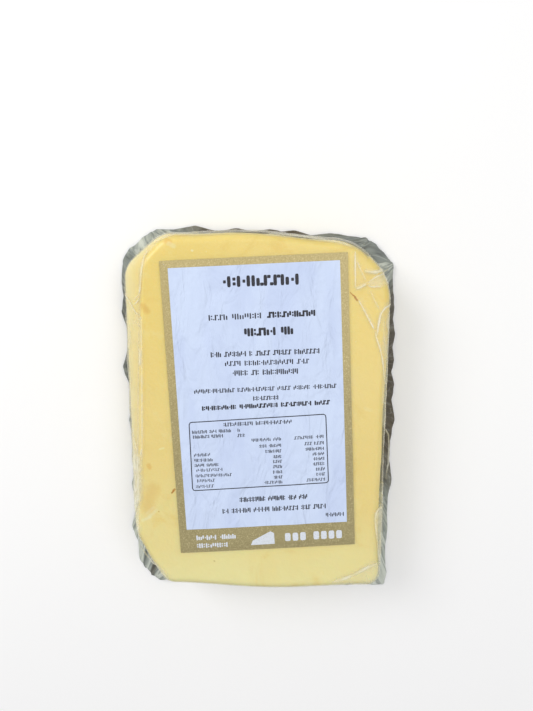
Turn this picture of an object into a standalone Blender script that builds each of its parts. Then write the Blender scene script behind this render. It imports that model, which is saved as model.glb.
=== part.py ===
"""Chunk of hard cheese, vacuum-sealed in clear film, with a paper label on its face.

Metres, +Z up. The pack lies on its flat back with the label up, +Y runs towards the label's
top edge and +X to its right. The origin is on the surface that the pack rests on, under the
middle of its outline.

Two pieces: the sealed pack, which is the cheese and the film drawn tight around it, and the
label. Where the two film layers meet they stand out around the foot as a thin crinkled fin.
"""

import math

import bmesh
import bpy
import numpy as np

MM = 0.001

# The chunk
PACK_HEIGHT = 22.5 * MM
FACE_CROWN = 0.6 * MM           # the face's far corners lie this much below its middle
FACE_HALF_WIDTH = 41.0 * MM
FACE_HALF_LENGTH = 60.0 * MM
EDGE_DEPTH = 3.0 * MM           # height of the rounded edge between wall and face

# The fin of sealed film around the foot
FIN_THICKNESS = 0.6 * MM
FIN_LIFT = 0.3 * MM             # lowest clearance of the fin's edge
FIN_WAVE = 0.7 * MM             # how far the edge waves up and down above that
FIN_WAVE_LENGTH = 31.0 * MM
FIN_RIPPLE_SHARE = 0.4          # part of the wave that is ripples of half that length
FIN_ROOT = 3.4 * MM             # height where the film leaves the wall
FIN_MIDWAY = 0.45               # a ring between root and edge of the fin
FIN_MIDWAY_HEIGHT = 1.5 * MM
PLEAT_SHARE = 0.35              # how much of a fin tip shows as a pleat at the wall's foot

# The label
LABEL_WIDTH = 60.5 * MM
LABEL_LENGTH = 100.0 * MM
LABEL_THICKNESS = 0.25 * MM
LABEL_GAP = 0.3 * MM
LABEL_TURN = math.radians(2.8)  # anticlockwise, seen from above
LABEL_CELLS = (8, 12)

# The outlines are in millimetres from the label's middle. They run anticlockwise from the
# lower right corner, and each corner is x, y and the radius that rounds it. The upper corners
# and the lower left one are cut across, so they are two corners each.
TOP_CORNERS = (
    (42.4, -65.4, 5.0),
    (42.7, 43.0, 18.0),
    (30.5, 55.4, 18.0),
    (-31.5, 57.3, 10.0),
    (-39.4, 48.5, 10.0),
    (-43.3, -45.6, 8.0),
    (-33.4, -63.8, 6.0),
)
BELLY_CORNERS = (
    (44.0, -67.0, 6.0),
    (44.3, 43.6, 19.0),
    (31.4, 56.6, 19.0),
    (-33.6, 58.4, 9.0),
    (-46.6, 47.0, 9.0),
    (-45.6, -46.6, 9.0),
    (-35.2, -65.4, 7.0),
)
FOOT_CORNERS = (
    (42.6, -66.6, 5.0),
    (43.2, 43.2, 18.0),
    (31.0, 56.2, 18.0),
    (-33.0, 57.8, 9.0),
    (-44.6, 46.8, 9.0),
    (-44.2, -46.6, 8.0),
    (-34.6, -65.2, 6.0),
)
FIN_CORNERS = (
    (48.9, -76.8, 1.5),
    (47.9, 48.3, 5.0),
    (38.0, 57.6, 6.0),
    (-38.5, 60.1, 5.0),
    (-49.8, 50.1, 5.0),
    (-47.2, -66.1, 4.0),
    (-40.5, -73.9, 4.0),
)

# One entry for each side, in the same order: right, upper right cut, top, upper left cut,
# left, lower left cut, bottom. A bow is how far a side's middle stands out, in millimetres.
SIDE_STEPS = (46, 5, 26, 5, 42, 7, 30)
CHUNK_BOWS = (-0.3, 0.0, 1.6, 0.0, 0.2, 0.3, 1.4)
FIN_BOWS = (0.5, 0.0, 0.8, 0.0, -0.4, 0.0, -0.6)
EDGE_INSETS = (3.0, 3.0, 3.0, 2.6, 1.8, 2.4, 3.0)       # how far the face's edge lies inside
ARC_STEPS = 5
SMALLEST_RADIUS = 1.5

# Tips of the crinkled fin on each side: place along the side from its start as a share of
# its length, how far the tip reaches out in millimetres, and half its width as a share.
FIN_TIPS = (
    ((0.03, 0.6, 0.03), (0.17, 0.5, 0.05), (0.35, 1.2, 0.06), (0.54, 1.5, 0.07),
     (0.65, 1.2, 0.05), (0.73, 1.1, 0.05), (0.81, 1.1, 0.06), (0.89, 0.9, 0.06)),
    ((0.35, 0.4, 0.30), (0.80, 0.4, 0.20)),
    ((0.15, 0.7, 0.09), (0.33, 0.9, 0.08), (0.45, 0.9, 0.07), (0.61, 0.8, 0.07),
     (0.82, 1.5, 0.10)),
    ((0.25, 0.4, 0.20), (0.80, 0.4, 0.20)),
    ((0.05, 0.5, 0.05), (0.15, 1.3, 0.05), (0.33, 2.4, 0.07), (0.51, 1.5, 0.06),
     (0.63, 0.7, 0.05), (0.73, 1.4, 0.06), (0.88, 2.0, 0.06)),
    ((0.30, 0.7, 0.25), (0.85, 0.6, 0.15)),
    ((0.16, 0.8, 0.07), (0.32, 1.0, 0.08), (0.50, 0.9, 0.07), (0.66, 1.1, 0.08),
     (0.84, 0.9, 0.07)),
)

# Rings of the wall between its foot and its rounded edge, as shares of that height
WALL_LEVELS = (0.18, 0.40, 0.62, 0.82)
# Rings of the rounded edge, in degrees from the wall at 0 to the face at 90
EDGE_ANGLES = (30.0, 60.0, 90.0)
# Rings of the face, and one of the back, as shares of the way from the edge to the middle
FACE_SHARES = (0.12, 0.35, 0.65)
BACK_SHARE = 0.5
SHARP_ANGLE = math.radians(40.0)

CHEESE_COLOUR = (0.85, 0.67, 0.21)
CHEESE_ROUGHNESS = 0.35
PAPER_COLOUR = (0.65, 0.75, 0.95)
PAPER_ROUGHNESS = 0.6


def clear_scene() -> None:
    """Remove every object that is already in the scene."""
    for obj in list(bpy.data.objects):
        bpy.data.objects.remove(obj, do_unlink=True)


def make_material(name: str, colour: tuple, roughness: float) -> bpy.types.Material:
    """Make a plain non-metal finish.

    Args:
        name: the material's name.
        colour: linear red, green and blue.
        roughness: how matt the surface is.

    Returns:
        The new material.
    """
    material = bpy.data.materials.new(name)
    material.use_nodes = True
    shader = material.node_tree.nodes["Principled BSDF"]
    shader.inputs["Base Color"].default_value = (*colour, 1.0)
    shader.inputs["Roughness"].default_value = roughness
    shader.inputs["Metallic"].default_value = 0.0
    return material


def fin_tip(side: int, share: float) -> float:
    """How far the fin's tips reach out at one place along a side, in millimetres."""
    reach = 0.0
    for place, height, half_width in FIN_TIPS[side]:
        reach = max(reach, height * (1.0 - abs(share - place) / half_width))
    return reach


def corner_arc(before: np.ndarray, corner: np.ndarray, after: np.ndarray) -> np.ndarray:
    """Round one corner of an outline.

    Args:
        before: the corner before this one; only x and y are read.
        corner: x, y and radius of the corner.
        after: the corner after it.

    Returns:
        x and y of the arc's points, from the side before to the side after.
    """
    point = corner[:2]
    radius = corner[2]
    to_before = before[:2] - point
    to_after = after[:2] - point
    to_before = to_before / np.linalg.norm(to_before)
    to_after = to_after / np.linalg.norm(to_after)
    half = 0.5 * math.acos(float(to_before @ to_after))
    inward = (to_before + to_after) / np.linalg.norm(to_before + to_after)
    centre = point + inward * radius / math.sin(half)
    first = point + to_before * radius / math.tan(half) - centre
    angles = math.atan2(first[1], first[0]) + np.linspace(0.0, math.pi - 2.0 * half, ARC_STEPS + 1)
    return centre + radius * np.column_stack((np.cos(angles), np.sin(angles)))


def outline(corners: np.ndarray, bows: tuple, tips: float = 0.0) -> np.ndarray:
    """Walk once around a rounded outline, always with the same number of points.

    Args:
        corners: x, y and radius of each corner in millimetres, anticlockwise.
        bows: how far the middle of each side stands out.
        tips: how much of the fin's tips is added, from 0 to 1.

    Returns:
        x and y of each point, in metres.
    """
    count = len(corners)
    arcs = [corner_arc(corners[i - 1], corners[i], corners[(i + 1) % count])
            for i in range(count)]
    points = []
    for i in range(count):
        points.extend(arcs[i])
        start = arcs[i][-1]
        end = arcs[(i + 1) % count][0]
        along = (end - start) / np.linalg.norm(end - start)
        outward = np.array((along[1], -along[0]))
        for step in range(1, SIDE_STEPS[i]):
            share = step / SIDE_STEPS[i]
            out = bows[i] * math.sin(math.pi * share) ** 2 + tips * fin_tip(i, share)
            points.append(start + (end - start) * share + outward * out)
    return np.array(points) * MM


def move_sides(corners: np.ndarray, distances: np.ndarray) -> np.ndarray:
    """Move each side of an outline outward and find where neighbouring sides now meet.

    Args:
        corners: x, y and radius of each corner, anticlockwise.
        distances: how far each side moves, the side that starts at corner 0 first.

    Returns:
        The new corners with their new radii.
    """
    points = corners[:, :2]
    along = np.roll(points, -1, axis=0) - points
    along /= np.linalg.norm(along, axis=1)[:, None]
    outward = np.column_stack((along[:, 1], -along[:, 0]))
    starts = points + outward * distances[:, None]
    moved = corners.copy()
    for i in range(len(corners)):
        gap = starts[i] - starts[i - 1]
        cross = along[i - 1][0] * along[i][1] - along[i - 1][1] * along[i][0]
        reach = (gap[0] * along[i][1] - gap[1] * along[i][0]) / cross
        moved[i, :2] = starts[i - 1] + along[i - 1] * reach
        growth = 0.5 * (distances[i - 1] + distances[i])
        moved[i, 2] = max(corners[i, 2] + growth, SMALLEST_RADIUS)
    return moved


def wall_corners(level: float) -> np.ndarray:
    """Corners of the wall at a level, from 0 at its foot to 1 at its rounded edge."""
    foot = np.array(FOOT_CORNERS)
    belly = np.array(BELLY_CORNERS)
    top = np.array(TOP_CORNERS)
    swell = belly - 0.5 * (foot + top)
    return foot + (top - foot) * level + swell * math.sin(math.pi * level)


def face_height(points: np.ndarray) -> np.ndarray:
    """Height of the slightly crowned face at each point, in metres."""
    across = (points[:, 0] / FACE_HALF_WIDTH) ** 2
    along = (points[:, 1] / FACE_HALF_LENGTH) ** 2
    return PACK_HEIGHT - 0.5 * FACE_CROWN * (across + along)


def at_height(ring: np.ndarray, height) -> np.ndarray:
    """Give an outline a height, either one for all points or one for each."""
    return np.column_stack((ring, np.broadcast_to(height, len(ring))))


def wall_rings() -> list:
    """Rings of the wall from the film's root up to the start of the rounded edge."""
    top = PACK_HEIGHT - EDGE_DEPTH - FACE_CROWN
    rings = []
    for level in (0.0, *WALL_LEVELS, 1.0):
        ring = outline(wall_corners(level), CHUNK_BOWS, PLEAT_SHARE * (1.0 - level))
        rings.append(at_height(ring, FIN_ROOT + (top - FIN_ROOT) * level))
    return rings


def edge_rings() -> list:
    """Rings of the rounded edge, from just above the wall up to the edge of the face."""
    rings = []
    for angle in EDGE_ANGLES:
        turn = math.radians(angle)
        insets = np.array(EDGE_INSETS) * (1.0 - math.cos(turn))
        ring = outline(move_sides(wall_corners(1.0), -insets), CHUNK_BOWS)
        drop = EDGE_DEPTH * (1.0 - math.sin(turn))
        rings.append(at_height(ring, face_height(ring) - drop))
    return rings


def fin_rings() -> list:
    """Rings of the film below its root: the foot, the fin's underside and its upper side."""
    edge = outline(np.array(FIN_CORNERS), FIN_BOWS, tips=1.0)
    foot = outline(wall_corners(0.0), CHUNK_BOWS)
    root = outline(wall_corners(0.0), CHUNK_BOWS, PLEAT_SHARE)
    steps = np.linalg.norm(np.roll(edge, -1, axis=0) - edge, axis=1)
    travelled = np.concatenate(([0.0], np.cumsum(steps)[:-1]))
    waves = round(steps.sum() / FIN_WAVE_LENGTH)
    turn = 2.0 * math.pi * waves * travelled / steps.sum()
    swing = (1.0 - FIN_RIPPLE_SHARE) * np.sin(turn) + FIN_RIPPLE_SHARE * np.sin(2.0 * turn)
    lift = FIN_LIFT + 0.5 * FIN_WAVE * (1.0 + swing)
    between_low = foot + (edge - foot) * FIN_MIDWAY
    between_high = root + (edge - root) * FIN_MIDWAY
    return [
        at_height(foot, 0.0),
        at_height(between_low, 0.5 * lift),
        at_height(edge, lift),
        at_height(edge, lift + FIN_THICKNESS),
        at_height(between_high, FIN_MIDWAY_HEIGHT + 0.5 * lift),
    ]


def pack_rings() -> list:
    """Every ring of the sealed pack, from the middle of its back to the middle of its face."""
    fin = fin_rings()
    foot = fin[0][:, :2]
    back = [at_height(foot * (1.0 - BACK_SHARE), 0.0)]
    edge = edge_rings()
    face = []
    for share in FACE_SHARES:
        ring = edge[-1][:, :2] * (1.0 - share)
        face.append(at_height(ring, face_height(ring)))
    return back + fin + wall_rings() + edge + face


def add_object(name: str, mesh: bpy.types.Mesh, material: bpy.types.Material) -> None:
    """Put a mesh into the scene as one named object with its material."""
    obj = bpy.data.objects.new(name, mesh)
    obj.data.materials.append(material)
    bpy.context.scene.collection.objects.link(obj)


def build_pack(material: bpy.types.Material) -> np.ndarray:
    """Make the sealed pack as one closed skin over its rings.

    Args:
        material: the pack's finish.

    Returns:
        x and y of the middle of the pack's outline, counted from the label's middle.
    """
    rings = pack_rings()
    spread = np.concatenate([ring[:, :2] for ring in rings])
    origin = 0.5 * (spread.min(axis=0) + spread.max(axis=0))
    shell = bmesh.new()
    rows = []
    for ring in rings:
        row = [shell.verts.new((x - origin[0], y - origin[1], z)) for x, y, z in ring]
        rows.append(row)
    count = len(rows[0])
    for low, high in zip(rows[:-1], rows[1:]):
        for i in range(count):
            j = (i + 1) % count
            shell.faces.new((low[i], low[j], high[j], high[i]))
    back_row = list(reversed(rows[0]))
    for row, height in ((back_row, 0.0), (rows[-1], PACK_HEIGHT)):
        tip = shell.verts.new((-origin[0], -origin[1], height))
        for i in range(count):
            shell.faces.new((row[i], row[(i + 1) % count], tip))
    mesh = bpy.data.meshes.new("pack")
    shell.to_mesh(mesh)
    shell.free()
    mesh.shade_smooth()
    mesh.set_sharp_from_angle(angle=SHARP_ANGLE)
    add_object("pack", mesh, material)
    return origin


def label_grid(rise: float) -> np.ndarray:
    """Points of one side of the label, row by row from its bottom edge.

    Args:
        rise: height of that side above the face, in metres.

    Returns:
        An array of rows, columns and x, y and z.
    """
    across, along = LABEL_CELLS
    u, v = np.meshgrid(LABEL_WIDTH * (np.arange(across + 1) / across - 0.5),
                       LABEL_LENGTH * (np.arange(along + 1) / along - 0.5))
    x = u * math.cos(LABEL_TURN) - v * math.sin(LABEL_TURN)
    y = u * math.sin(LABEL_TURN) + v * math.cos(LABEL_TURN)
    flat = np.column_stack((x.ravel(), y.ravel()))
    return at_height(flat, face_height(flat) + rise).reshape(along + 1, across + 1, 3)


def build_label(material: bpy.types.Material, origin: np.ndarray) -> None:
    """Make the label as a thin sheet that follows the face just above it.

    Args:
        material: the label's finish.
        origin: the middle of the pack's outline, counted from the label's middle.
    """
    across, along = LABEL_CELLS
    sheet = bmesh.new()
    layers = []
    for rise in (LABEL_GAP, LABEL_GAP + LABEL_THICKNESS):
        grid = [[sheet.verts.new((x - origin[0], y - origin[1], z)) for x, y, z in row]
                for row in label_grid(rise)]
        layers.append(grid)
    under, over = layers
    for row in range(along):
        for column in range(across):
            square = ((row, column), (row, column + 1), (row + 1, column + 1), (row + 1, column))
            sheet.faces.new([over[r][c] for r, c in square])
            sheet.faces.new([under[r][c] for r, c in reversed(square)])
    rim = [(0, column) for column in range(across)]
    rim += [(row, across) for row in range(along)]
    rim += [(along, column) for column in range(across, 0, -1)]
    rim += [(row, 0) for row in range(along, 0, -1)]
    for (r, c), (next_r, next_c) in zip(rim, rim[1:] + rim[:1]):
        sheet.faces.new((under[r][c], under[next_r][next_c], over[next_r][next_c], over[r][c]))
    mesh = bpy.data.meshes.new("label")
    sheet.to_mesh(mesh)
    sheet.free()
    add_object("label", mesh, material)


def main() -> None:
    """Build the sealed pack and its label."""
    clear_scene()
    cheese = make_material("sealed_cheese", CHEESE_COLOUR, CHEESE_ROUGHNESS)
    paper = make_material("label_paper", PAPER_COLOUR, PAPER_ROUGHNESS)
    origin = build_pack(cheese)
    build_label(paper, origin)


main()
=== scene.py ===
"""Looks of a vacuum-sealed chunk of hard cheese with a paper label on its face.

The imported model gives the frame. The sealed pack is replaced with a block of cheese and the clear
film around it, and the label with a sheet of paper, its gold print and rows of plain marks.
"""

import logging
import math
from dataclasses import dataclass
from enum import Enum
from itertools import product

import bpy
import numpy as np
from bpy.types import ID, Material, Mesh, Node, NodeSocket, NodeTree, Object
from mathutils import Matrix, Vector
from mathutils.bvhtree import BVHTree


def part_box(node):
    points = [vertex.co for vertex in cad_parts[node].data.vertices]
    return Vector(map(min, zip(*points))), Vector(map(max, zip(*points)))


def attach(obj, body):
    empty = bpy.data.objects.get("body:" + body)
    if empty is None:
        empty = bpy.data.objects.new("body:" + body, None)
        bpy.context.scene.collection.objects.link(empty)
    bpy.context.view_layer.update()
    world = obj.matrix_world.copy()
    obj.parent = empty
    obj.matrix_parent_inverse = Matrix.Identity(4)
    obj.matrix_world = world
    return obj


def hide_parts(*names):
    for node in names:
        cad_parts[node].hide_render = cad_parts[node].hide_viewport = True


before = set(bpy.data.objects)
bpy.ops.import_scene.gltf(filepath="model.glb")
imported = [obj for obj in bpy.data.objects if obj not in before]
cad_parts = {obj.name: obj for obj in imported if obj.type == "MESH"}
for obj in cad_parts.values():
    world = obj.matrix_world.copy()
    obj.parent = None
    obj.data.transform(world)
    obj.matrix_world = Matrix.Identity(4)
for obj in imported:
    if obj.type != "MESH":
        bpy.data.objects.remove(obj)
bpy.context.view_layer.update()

log = logging.getLogger("sealed_cheese")

MM = 0.001

# The photograph's frame, in pixels
PHOTO_WIDTH = 533
PHOTO_HEIGHT = 711

# Tables of the pack's shape, in millimetres from the label's middle, as the solid model has them.
# They run anticlockwise from the lower right corner, and a corner is x, y and its radius.
TOP_CORNERS = (
    (42.4, -65.4, 5.0), (42.7, 43.0, 18.0), (30.5, 55.4, 18.0), (-31.5, 57.3, 10.0),
    (-39.4, 48.5, 10.0), (-43.3, -45.6, 8.0), (-33.4, -63.8, 6.0),
)
BELLY_CORNERS = (
    (44.0, -67.0, 6.0), (44.3, 43.6, 19.0), (31.4, 56.6, 19.0), (-33.6, 58.4, 9.0),
    (-46.6, 47.0, 9.0), (-45.6, -46.6, 9.0), (-35.2, -65.4, 7.0),
)
FOOT_CORNERS = (
    (42.6, -66.6, 5.0), (43.2, 43.2, 18.0), (31.0, 56.2, 18.0), (-33.0, 57.8, 9.0),
    (-44.6, 46.8, 9.0), (-44.2, -46.6, 8.0), (-34.6, -65.2, 6.0),
)
FIN_CORNERS = (
    (48.9, -76.8, 1.5), (47.9, 48.3, 5.0), (38.0, 57.6, 6.0), (-38.5, 60.1, 5.0),
    (-49.8, 50.1, 5.0), (-47.2, -66.1, 4.0), (-40.5, -73.9, 4.0),
)
# One entry for each side: right, upper right cut, top, upper left cut, left, lower left cut, bottom
SIDE_STEPS = (46, 5, 26, 5, 42, 7, 30)
CHUNK_BOWS = (-0.3, 0.0, 1.6, 0.0, 0.2, 0.3, 1.4)
FIN_BOWS = (0.5, 0.0, 0.8, 0.0, -0.4, 0.0, -0.6)
EDGE_INSETS = (3.0, 3.0, 3.0, 2.6, 1.8, 2.4, 3.0)
ARC_STEPS = 5
SMALLEST_RADIUS = 1.5
# Tips of the fin: place as a share of the side, reach in millimetres, half width as a share
FIN_TIPS = (
    ((0.03, 0.6, 0.03), (0.17, 0.5, 0.05), (0.35, 1.2, 0.06), (0.54, 1.5, 0.07),
     (0.65, 1.2, 0.05), (0.73, 1.1, 0.05), (0.81, 1.1, 0.06), (0.89, 0.9, 0.06)),
    ((0.35, 0.4, 0.30), (0.80, 0.4, 0.20)),
    ((0.15, 0.7, 0.09), (0.33, 0.9, 0.08), (0.45, 0.9, 0.07), (0.61, 0.8, 0.07),
     (0.82, 1.5, 0.10)),
    ((0.25, 0.4, 0.20), (0.80, 0.4, 0.20)),
    ((0.05, 0.5, 0.05), (0.15, 1.3, 0.05), (0.33, 2.4, 0.07), (0.51, 1.5, 0.06),
     (0.63, 0.7, 0.05), (0.73, 1.4, 0.06), (0.88, 2.0, 0.06)),
    ((0.30, 0.7, 0.25), (0.85, 0.6, 0.15)),
    ((0.16, 0.8, 0.07), (0.32, 1.0, 0.08), (0.50, 0.9, 0.07), (0.66, 1.1, 0.08),
     (0.84, 0.9, 0.07)),
)

# Numbers that mix a cell's place into a random value
AXIS_PRIMES = (73856093, 19349663, 83492791)
SEED_PRIME = 2654435761
MIXERS = ((15, 2246822519), (13, 3266489917))
LAST_WORD = 0xFFFFFFFF
TINY = 1e-12

# How far above a mark the search for the paper starts, and how far down it goes, in metres
RAY_RISE = 0.01
RAY_REACH = 0.03
# How far the cheese's face lies below the label's top, in metres
FACE_DROP = 0.0008

WHITE = (1.0, 1.0, 1.0, 1.0)
# Share of the way from wall to edge at which the film counts as fin
FIN_START = 0.3


def linear(*colour: float) -> tuple:
    """Turn a colour as a screen shows it, from 0 to 255, into linear red, green, blue and 1."""
    shares = [value / 255.0 for value in colour]
    return (*[s / 12.92 if s <= 0.04045 else ((s + 0.055) / 1.055) ** 2.4 for s in shares], 1.0)


def smooth_step(low: float, high: float, value: np.ndarray) -> np.ndarray:
    """Rise smoothly from 0 at low to 1 at high."""
    share = np.clip((value - low) / (high - low), 0.0, 1.0)
    return share * share * (3.0 - 2.0 * share)


def looked_up(table: tuple, places: np.ndarray, column: int = 1) -> np.ndarray:
    """Read one column of a table between its rows, whose first column holds the places."""
    rows = np.array(table)
    return np.interp(places, rows[:, 0], rows[:, column])


def unit(vector: np.ndarray) -> np.ndarray:
    """A vector of the same direction that is 1 long."""
    return vector / np.linalg.norm(vector)


def walk_around(ring: np.ndarray) -> tuple:
    """Distance walked up to each point of a closed ring, and the whole way around."""
    steps = np.linalg.norm(np.roll(ring, -1, axis=0) - ring, axis=1)
    return np.concatenate(([0.0], np.cumsum(steps)[:-1])), steps.sum()


def soft_noise(points: np.ndarray, cell: float, seed: int) -> np.ndarray:
    """Smooth noise between -1 and 1.

    Args:
        points: places, one row each with x, y and z.
        cell: size of the noise's features, in the points' unit.
        seed: picks the pattern.

    Returns:
        One value for each point.
    """
    scaled = points / cell
    base = np.floor(scaled)
    part = scaled - base
    part = part * part * (3.0 - 2.0 * part)
    base = base.astype(np.int64)
    total = np.zeros(len(points))
    for corner in product((0, 1), repeat=3):
        terms = (base + np.array(corner)) * np.array(AXIS_PRIMES)
        mixed = (terms[:, 0] ^ terms[:, 1] ^ terms[:, 2] ^ (seed * SEED_PRIME)) & LAST_WORD
        for shift, prime in MIXERS:
            mixed = (((mixed >> shift) ^ mixed) * prime) & LAST_WORD
        value = ((mixed >> 16) ^ mixed) / float(LAST_WORD) * 2.0 - 1.0
        weight = np.ones(len(points))
        for axis in range(3):
            weight *= part[:, axis] if corner[axis] else 1.0 - part[:, axis]
        total += weight * value
    return total


def distance_to_line(places: np.ndarray, line: np.ndarray) -> tuple:
    """Distance of each place from a line of straight stretches, all in the same plane.

    Args:
        places: x and y of each place.
        line: x and y of the line's points.

    Returns:
        The distances, and how far along the line the nearest point is, from 0 to 1.
    """
    steps = np.linalg.norm(np.diff(line, axis=0), axis=1)
    travelled = np.concatenate(([0.0], np.cumsum(steps)))
    nearest = np.full(len(places), np.inf)
    along = np.zeros(len(places))
    for i in range(len(steps)):
        stretch = line[i + 1] - line[i]
        share = np.clip((places - line[i]) @ stretch / max(stretch @ stretch, TINY), 0.0, 1.0)
        gap = np.linalg.norm(places - line[i] - share[:, None] * stretch, axis=1)
        closer = gap < nearest
        nearest = np.where(closer, gap, nearest)
        along = np.where(closer, (travelled[i] + share * steps[i]) / travelled[-1], along)
    return nearest, along


def inside_patch(places: np.ndarray, corners: np.ndarray) -> np.ndarray:
    """How deep each place lies inside a patch; places outside it have negative depths.

    Args:
        places: x and y of each place.
        corners: x and y of the patch's corners in order.

    Returns:
        The signed depths.
    """
    ring = np.vstack((corners, corners[:1]))
    depth, _ = distance_to_line(places, ring)
    inside = np.zeros(len(places), bool)
    for (x0, y0), (x1, y1) in zip(ring[:-1], ring[1:]):
        crosses = (y0 > places[:, 1]) != (y1 > places[:, 1])
        reach = (x1 - x0) * (places[:, 1] - y0) / (y1 - y0 if y1 != y0 else TINY) + x0
        inside ^= crosses & (places[:, 0] < reach)
    return np.where(inside, depth, -depth)


class NodeCanvas:
    """Adds nodes to a node tree, each with its values and links in one call."""

    def __init__(self, tree: NodeTree) -> None:
        """Keep the tree that the nodes go into."""
        self.tree = tree

    def add(self, kind: str, inputs: dict | None = None, **settings: str | bool) -> Node:
        """Add one node.

        Args:
            kind: Blender's name of the node type.
            inputs: value or source socket for each input, by the input's name or number.
            settings: the node's own properties.

        Returns:
            The new node.
        """
        node = self.tree.nodes.new(kind)
        for name, value in settings.items():
            setattr(node, name, value)
        for key, value in (inputs or {}).items():
            if isinstance(value, NodeSocket):
                self.tree.links.new(value, node.inputs[key])
            else:
                node.inputs[key].default_value = value
        return node

    def get(self, kind: str, inputs: dict | None = None, **settings: str | bool) -> NodeSocket:
        """Add one node and give its first output."""
        return self.add(kind, inputs, **settings).outputs[0]

    def math(self, operation: str, *values: float | NodeSocket,
             clamp: bool = False) -> NodeSocket:
        """Combine numbers or sockets with one Math node, whose result may be kept within 0 to 1."""
        return self.get("ShaderNodeMath", dict(enumerate(values)), operation=operation,
                        use_clamp=clamp)

    def vector(self, operation: str, first: NodeSocket,
               second: NodeSocket | tuple) -> NodeSocket:
        """Combine two vectors with one Vector Math node, into a vector or a number."""
        node = self.add("ShaderNodeVectorMath", {0: first, 1: second}, operation=operation)
        return node.outputs["Value" if operation in ("DOT_PRODUCT", "DISTANCE") else "Vector"]

    def scaled(self, vector: NodeSocket | tuple, factor: NodeSocket) -> NodeSocket:
        """A vector times a number."""
        return self.get("ShaderNodeVectorMath", {0: vector, "Scale": factor}, operation="SCALE")


class ShaderCanvas(NodeCanvas):
    """Builds one material out of nodes."""

    def __init__(self, name: str) -> None:
        """Start a material with an empty tree."""
        self.material = bpy.data.materials.new(name)
        self.material.use_nodes = True
        super().__init__(self.material.node_tree)
        self.tree.nodes.clear()
        self.place = self.add("ShaderNodeTexCoord").outputs["Object"]

    def noise(self, scale: float, detail: float = 3.0, roughness: float = 0.5,
              distortion: float = 0.0, place: NodeSocket | None = None) -> NodeSocket:
        """Noise over the object's own coordinates or a place, with scale features to a metre."""
        return self.get("ShaderNodeTexNoise", {
            "Vector": place or self.place, "Scale": scale, "Detail": detail,
            "Roughness": roughness, "Distortion": distortion})

    def stretched(self, scales: tuple, turn: float = 0.0) -> NodeSocket:
        """The object's coordinates, stretched by a scale for each axis and turned about Z."""
        return self.get("ShaderNodeMapping", {
            "Vector": self.place, "Scale": scales, "Rotation": (0.0, 0.0, turn)})

    def between(self, value: NodeSocket, low: float, high: float,
                start: float = 0.0, end: float = 1.0) -> NodeSocket:
        """Map a value smoothly from the range low to high to the range start to end."""
        return self.get("ShaderNodeMapRange", {0: value, 1: low, 2: high, 3: start, 4: end},
                        interpolation_type="SMOOTHSTEP")

    def blend(self, factor: NodeSocket, first: NodeSocket | tuple,
              second: NodeSocket | tuple) -> NodeSocket:
        """Mix two colours, sockets or given from 0 to 255, with factor of the second one."""
        first, second = (linear(*c) if isinstance(c, tuple) else c for c in (first, second))
        return self.add("ShaderNodeMix", {0: factor, 6: first, 7: second},
                        data_type="RGBA").outputs[2]

    def layered(self, cover: NodeSocket, below: NodeSocket, above: NodeSocket) -> NodeSocket:
        """Put one shader over another, as far as cover says."""
        return self.get("ShaderNodeMixShader", {0: cover, 1: below, 2: above})

    def attribute(self, name: str) -> NodeSocket:
        """A number that is stored on the piece's points."""
        return self.add("ShaderNodeAttribute", attribute_name=name).outputs["Fac"]

    def bump(self, height: NodeSocket, distance: float, strength: float = 1.0,
             normal: NodeSocket | None = None) -> NodeSocket:
        """Raise a surface by a height.

        Args:
            height: the socket that gives the relief.
            distance: how high a value of 1 stands, in metres.
            strength: share of the effect.
            normal: an earlier relief that this one adds to.

        Returns:
            The normal's socket.
        """
        inputs = {"Height": height, "Distance": distance, "Strength": strength}
        if normal is not None:
            inputs["Normal"] = normal
        return self.get("ShaderNodeBump", inputs)

    def principled(self, inputs: dict) -> NodeSocket:
        """Add the main shader with the given inputs."""
        return self.get("ShaderNodeBsdfPrincipled", inputs)

    def finish(self, shader: NodeSocket) -> Material:
        """Link the shader to the output and hand over the material."""
        self.add("ShaderNodeOutputMaterial", {"Surface": shader})
        return self.material


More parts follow.
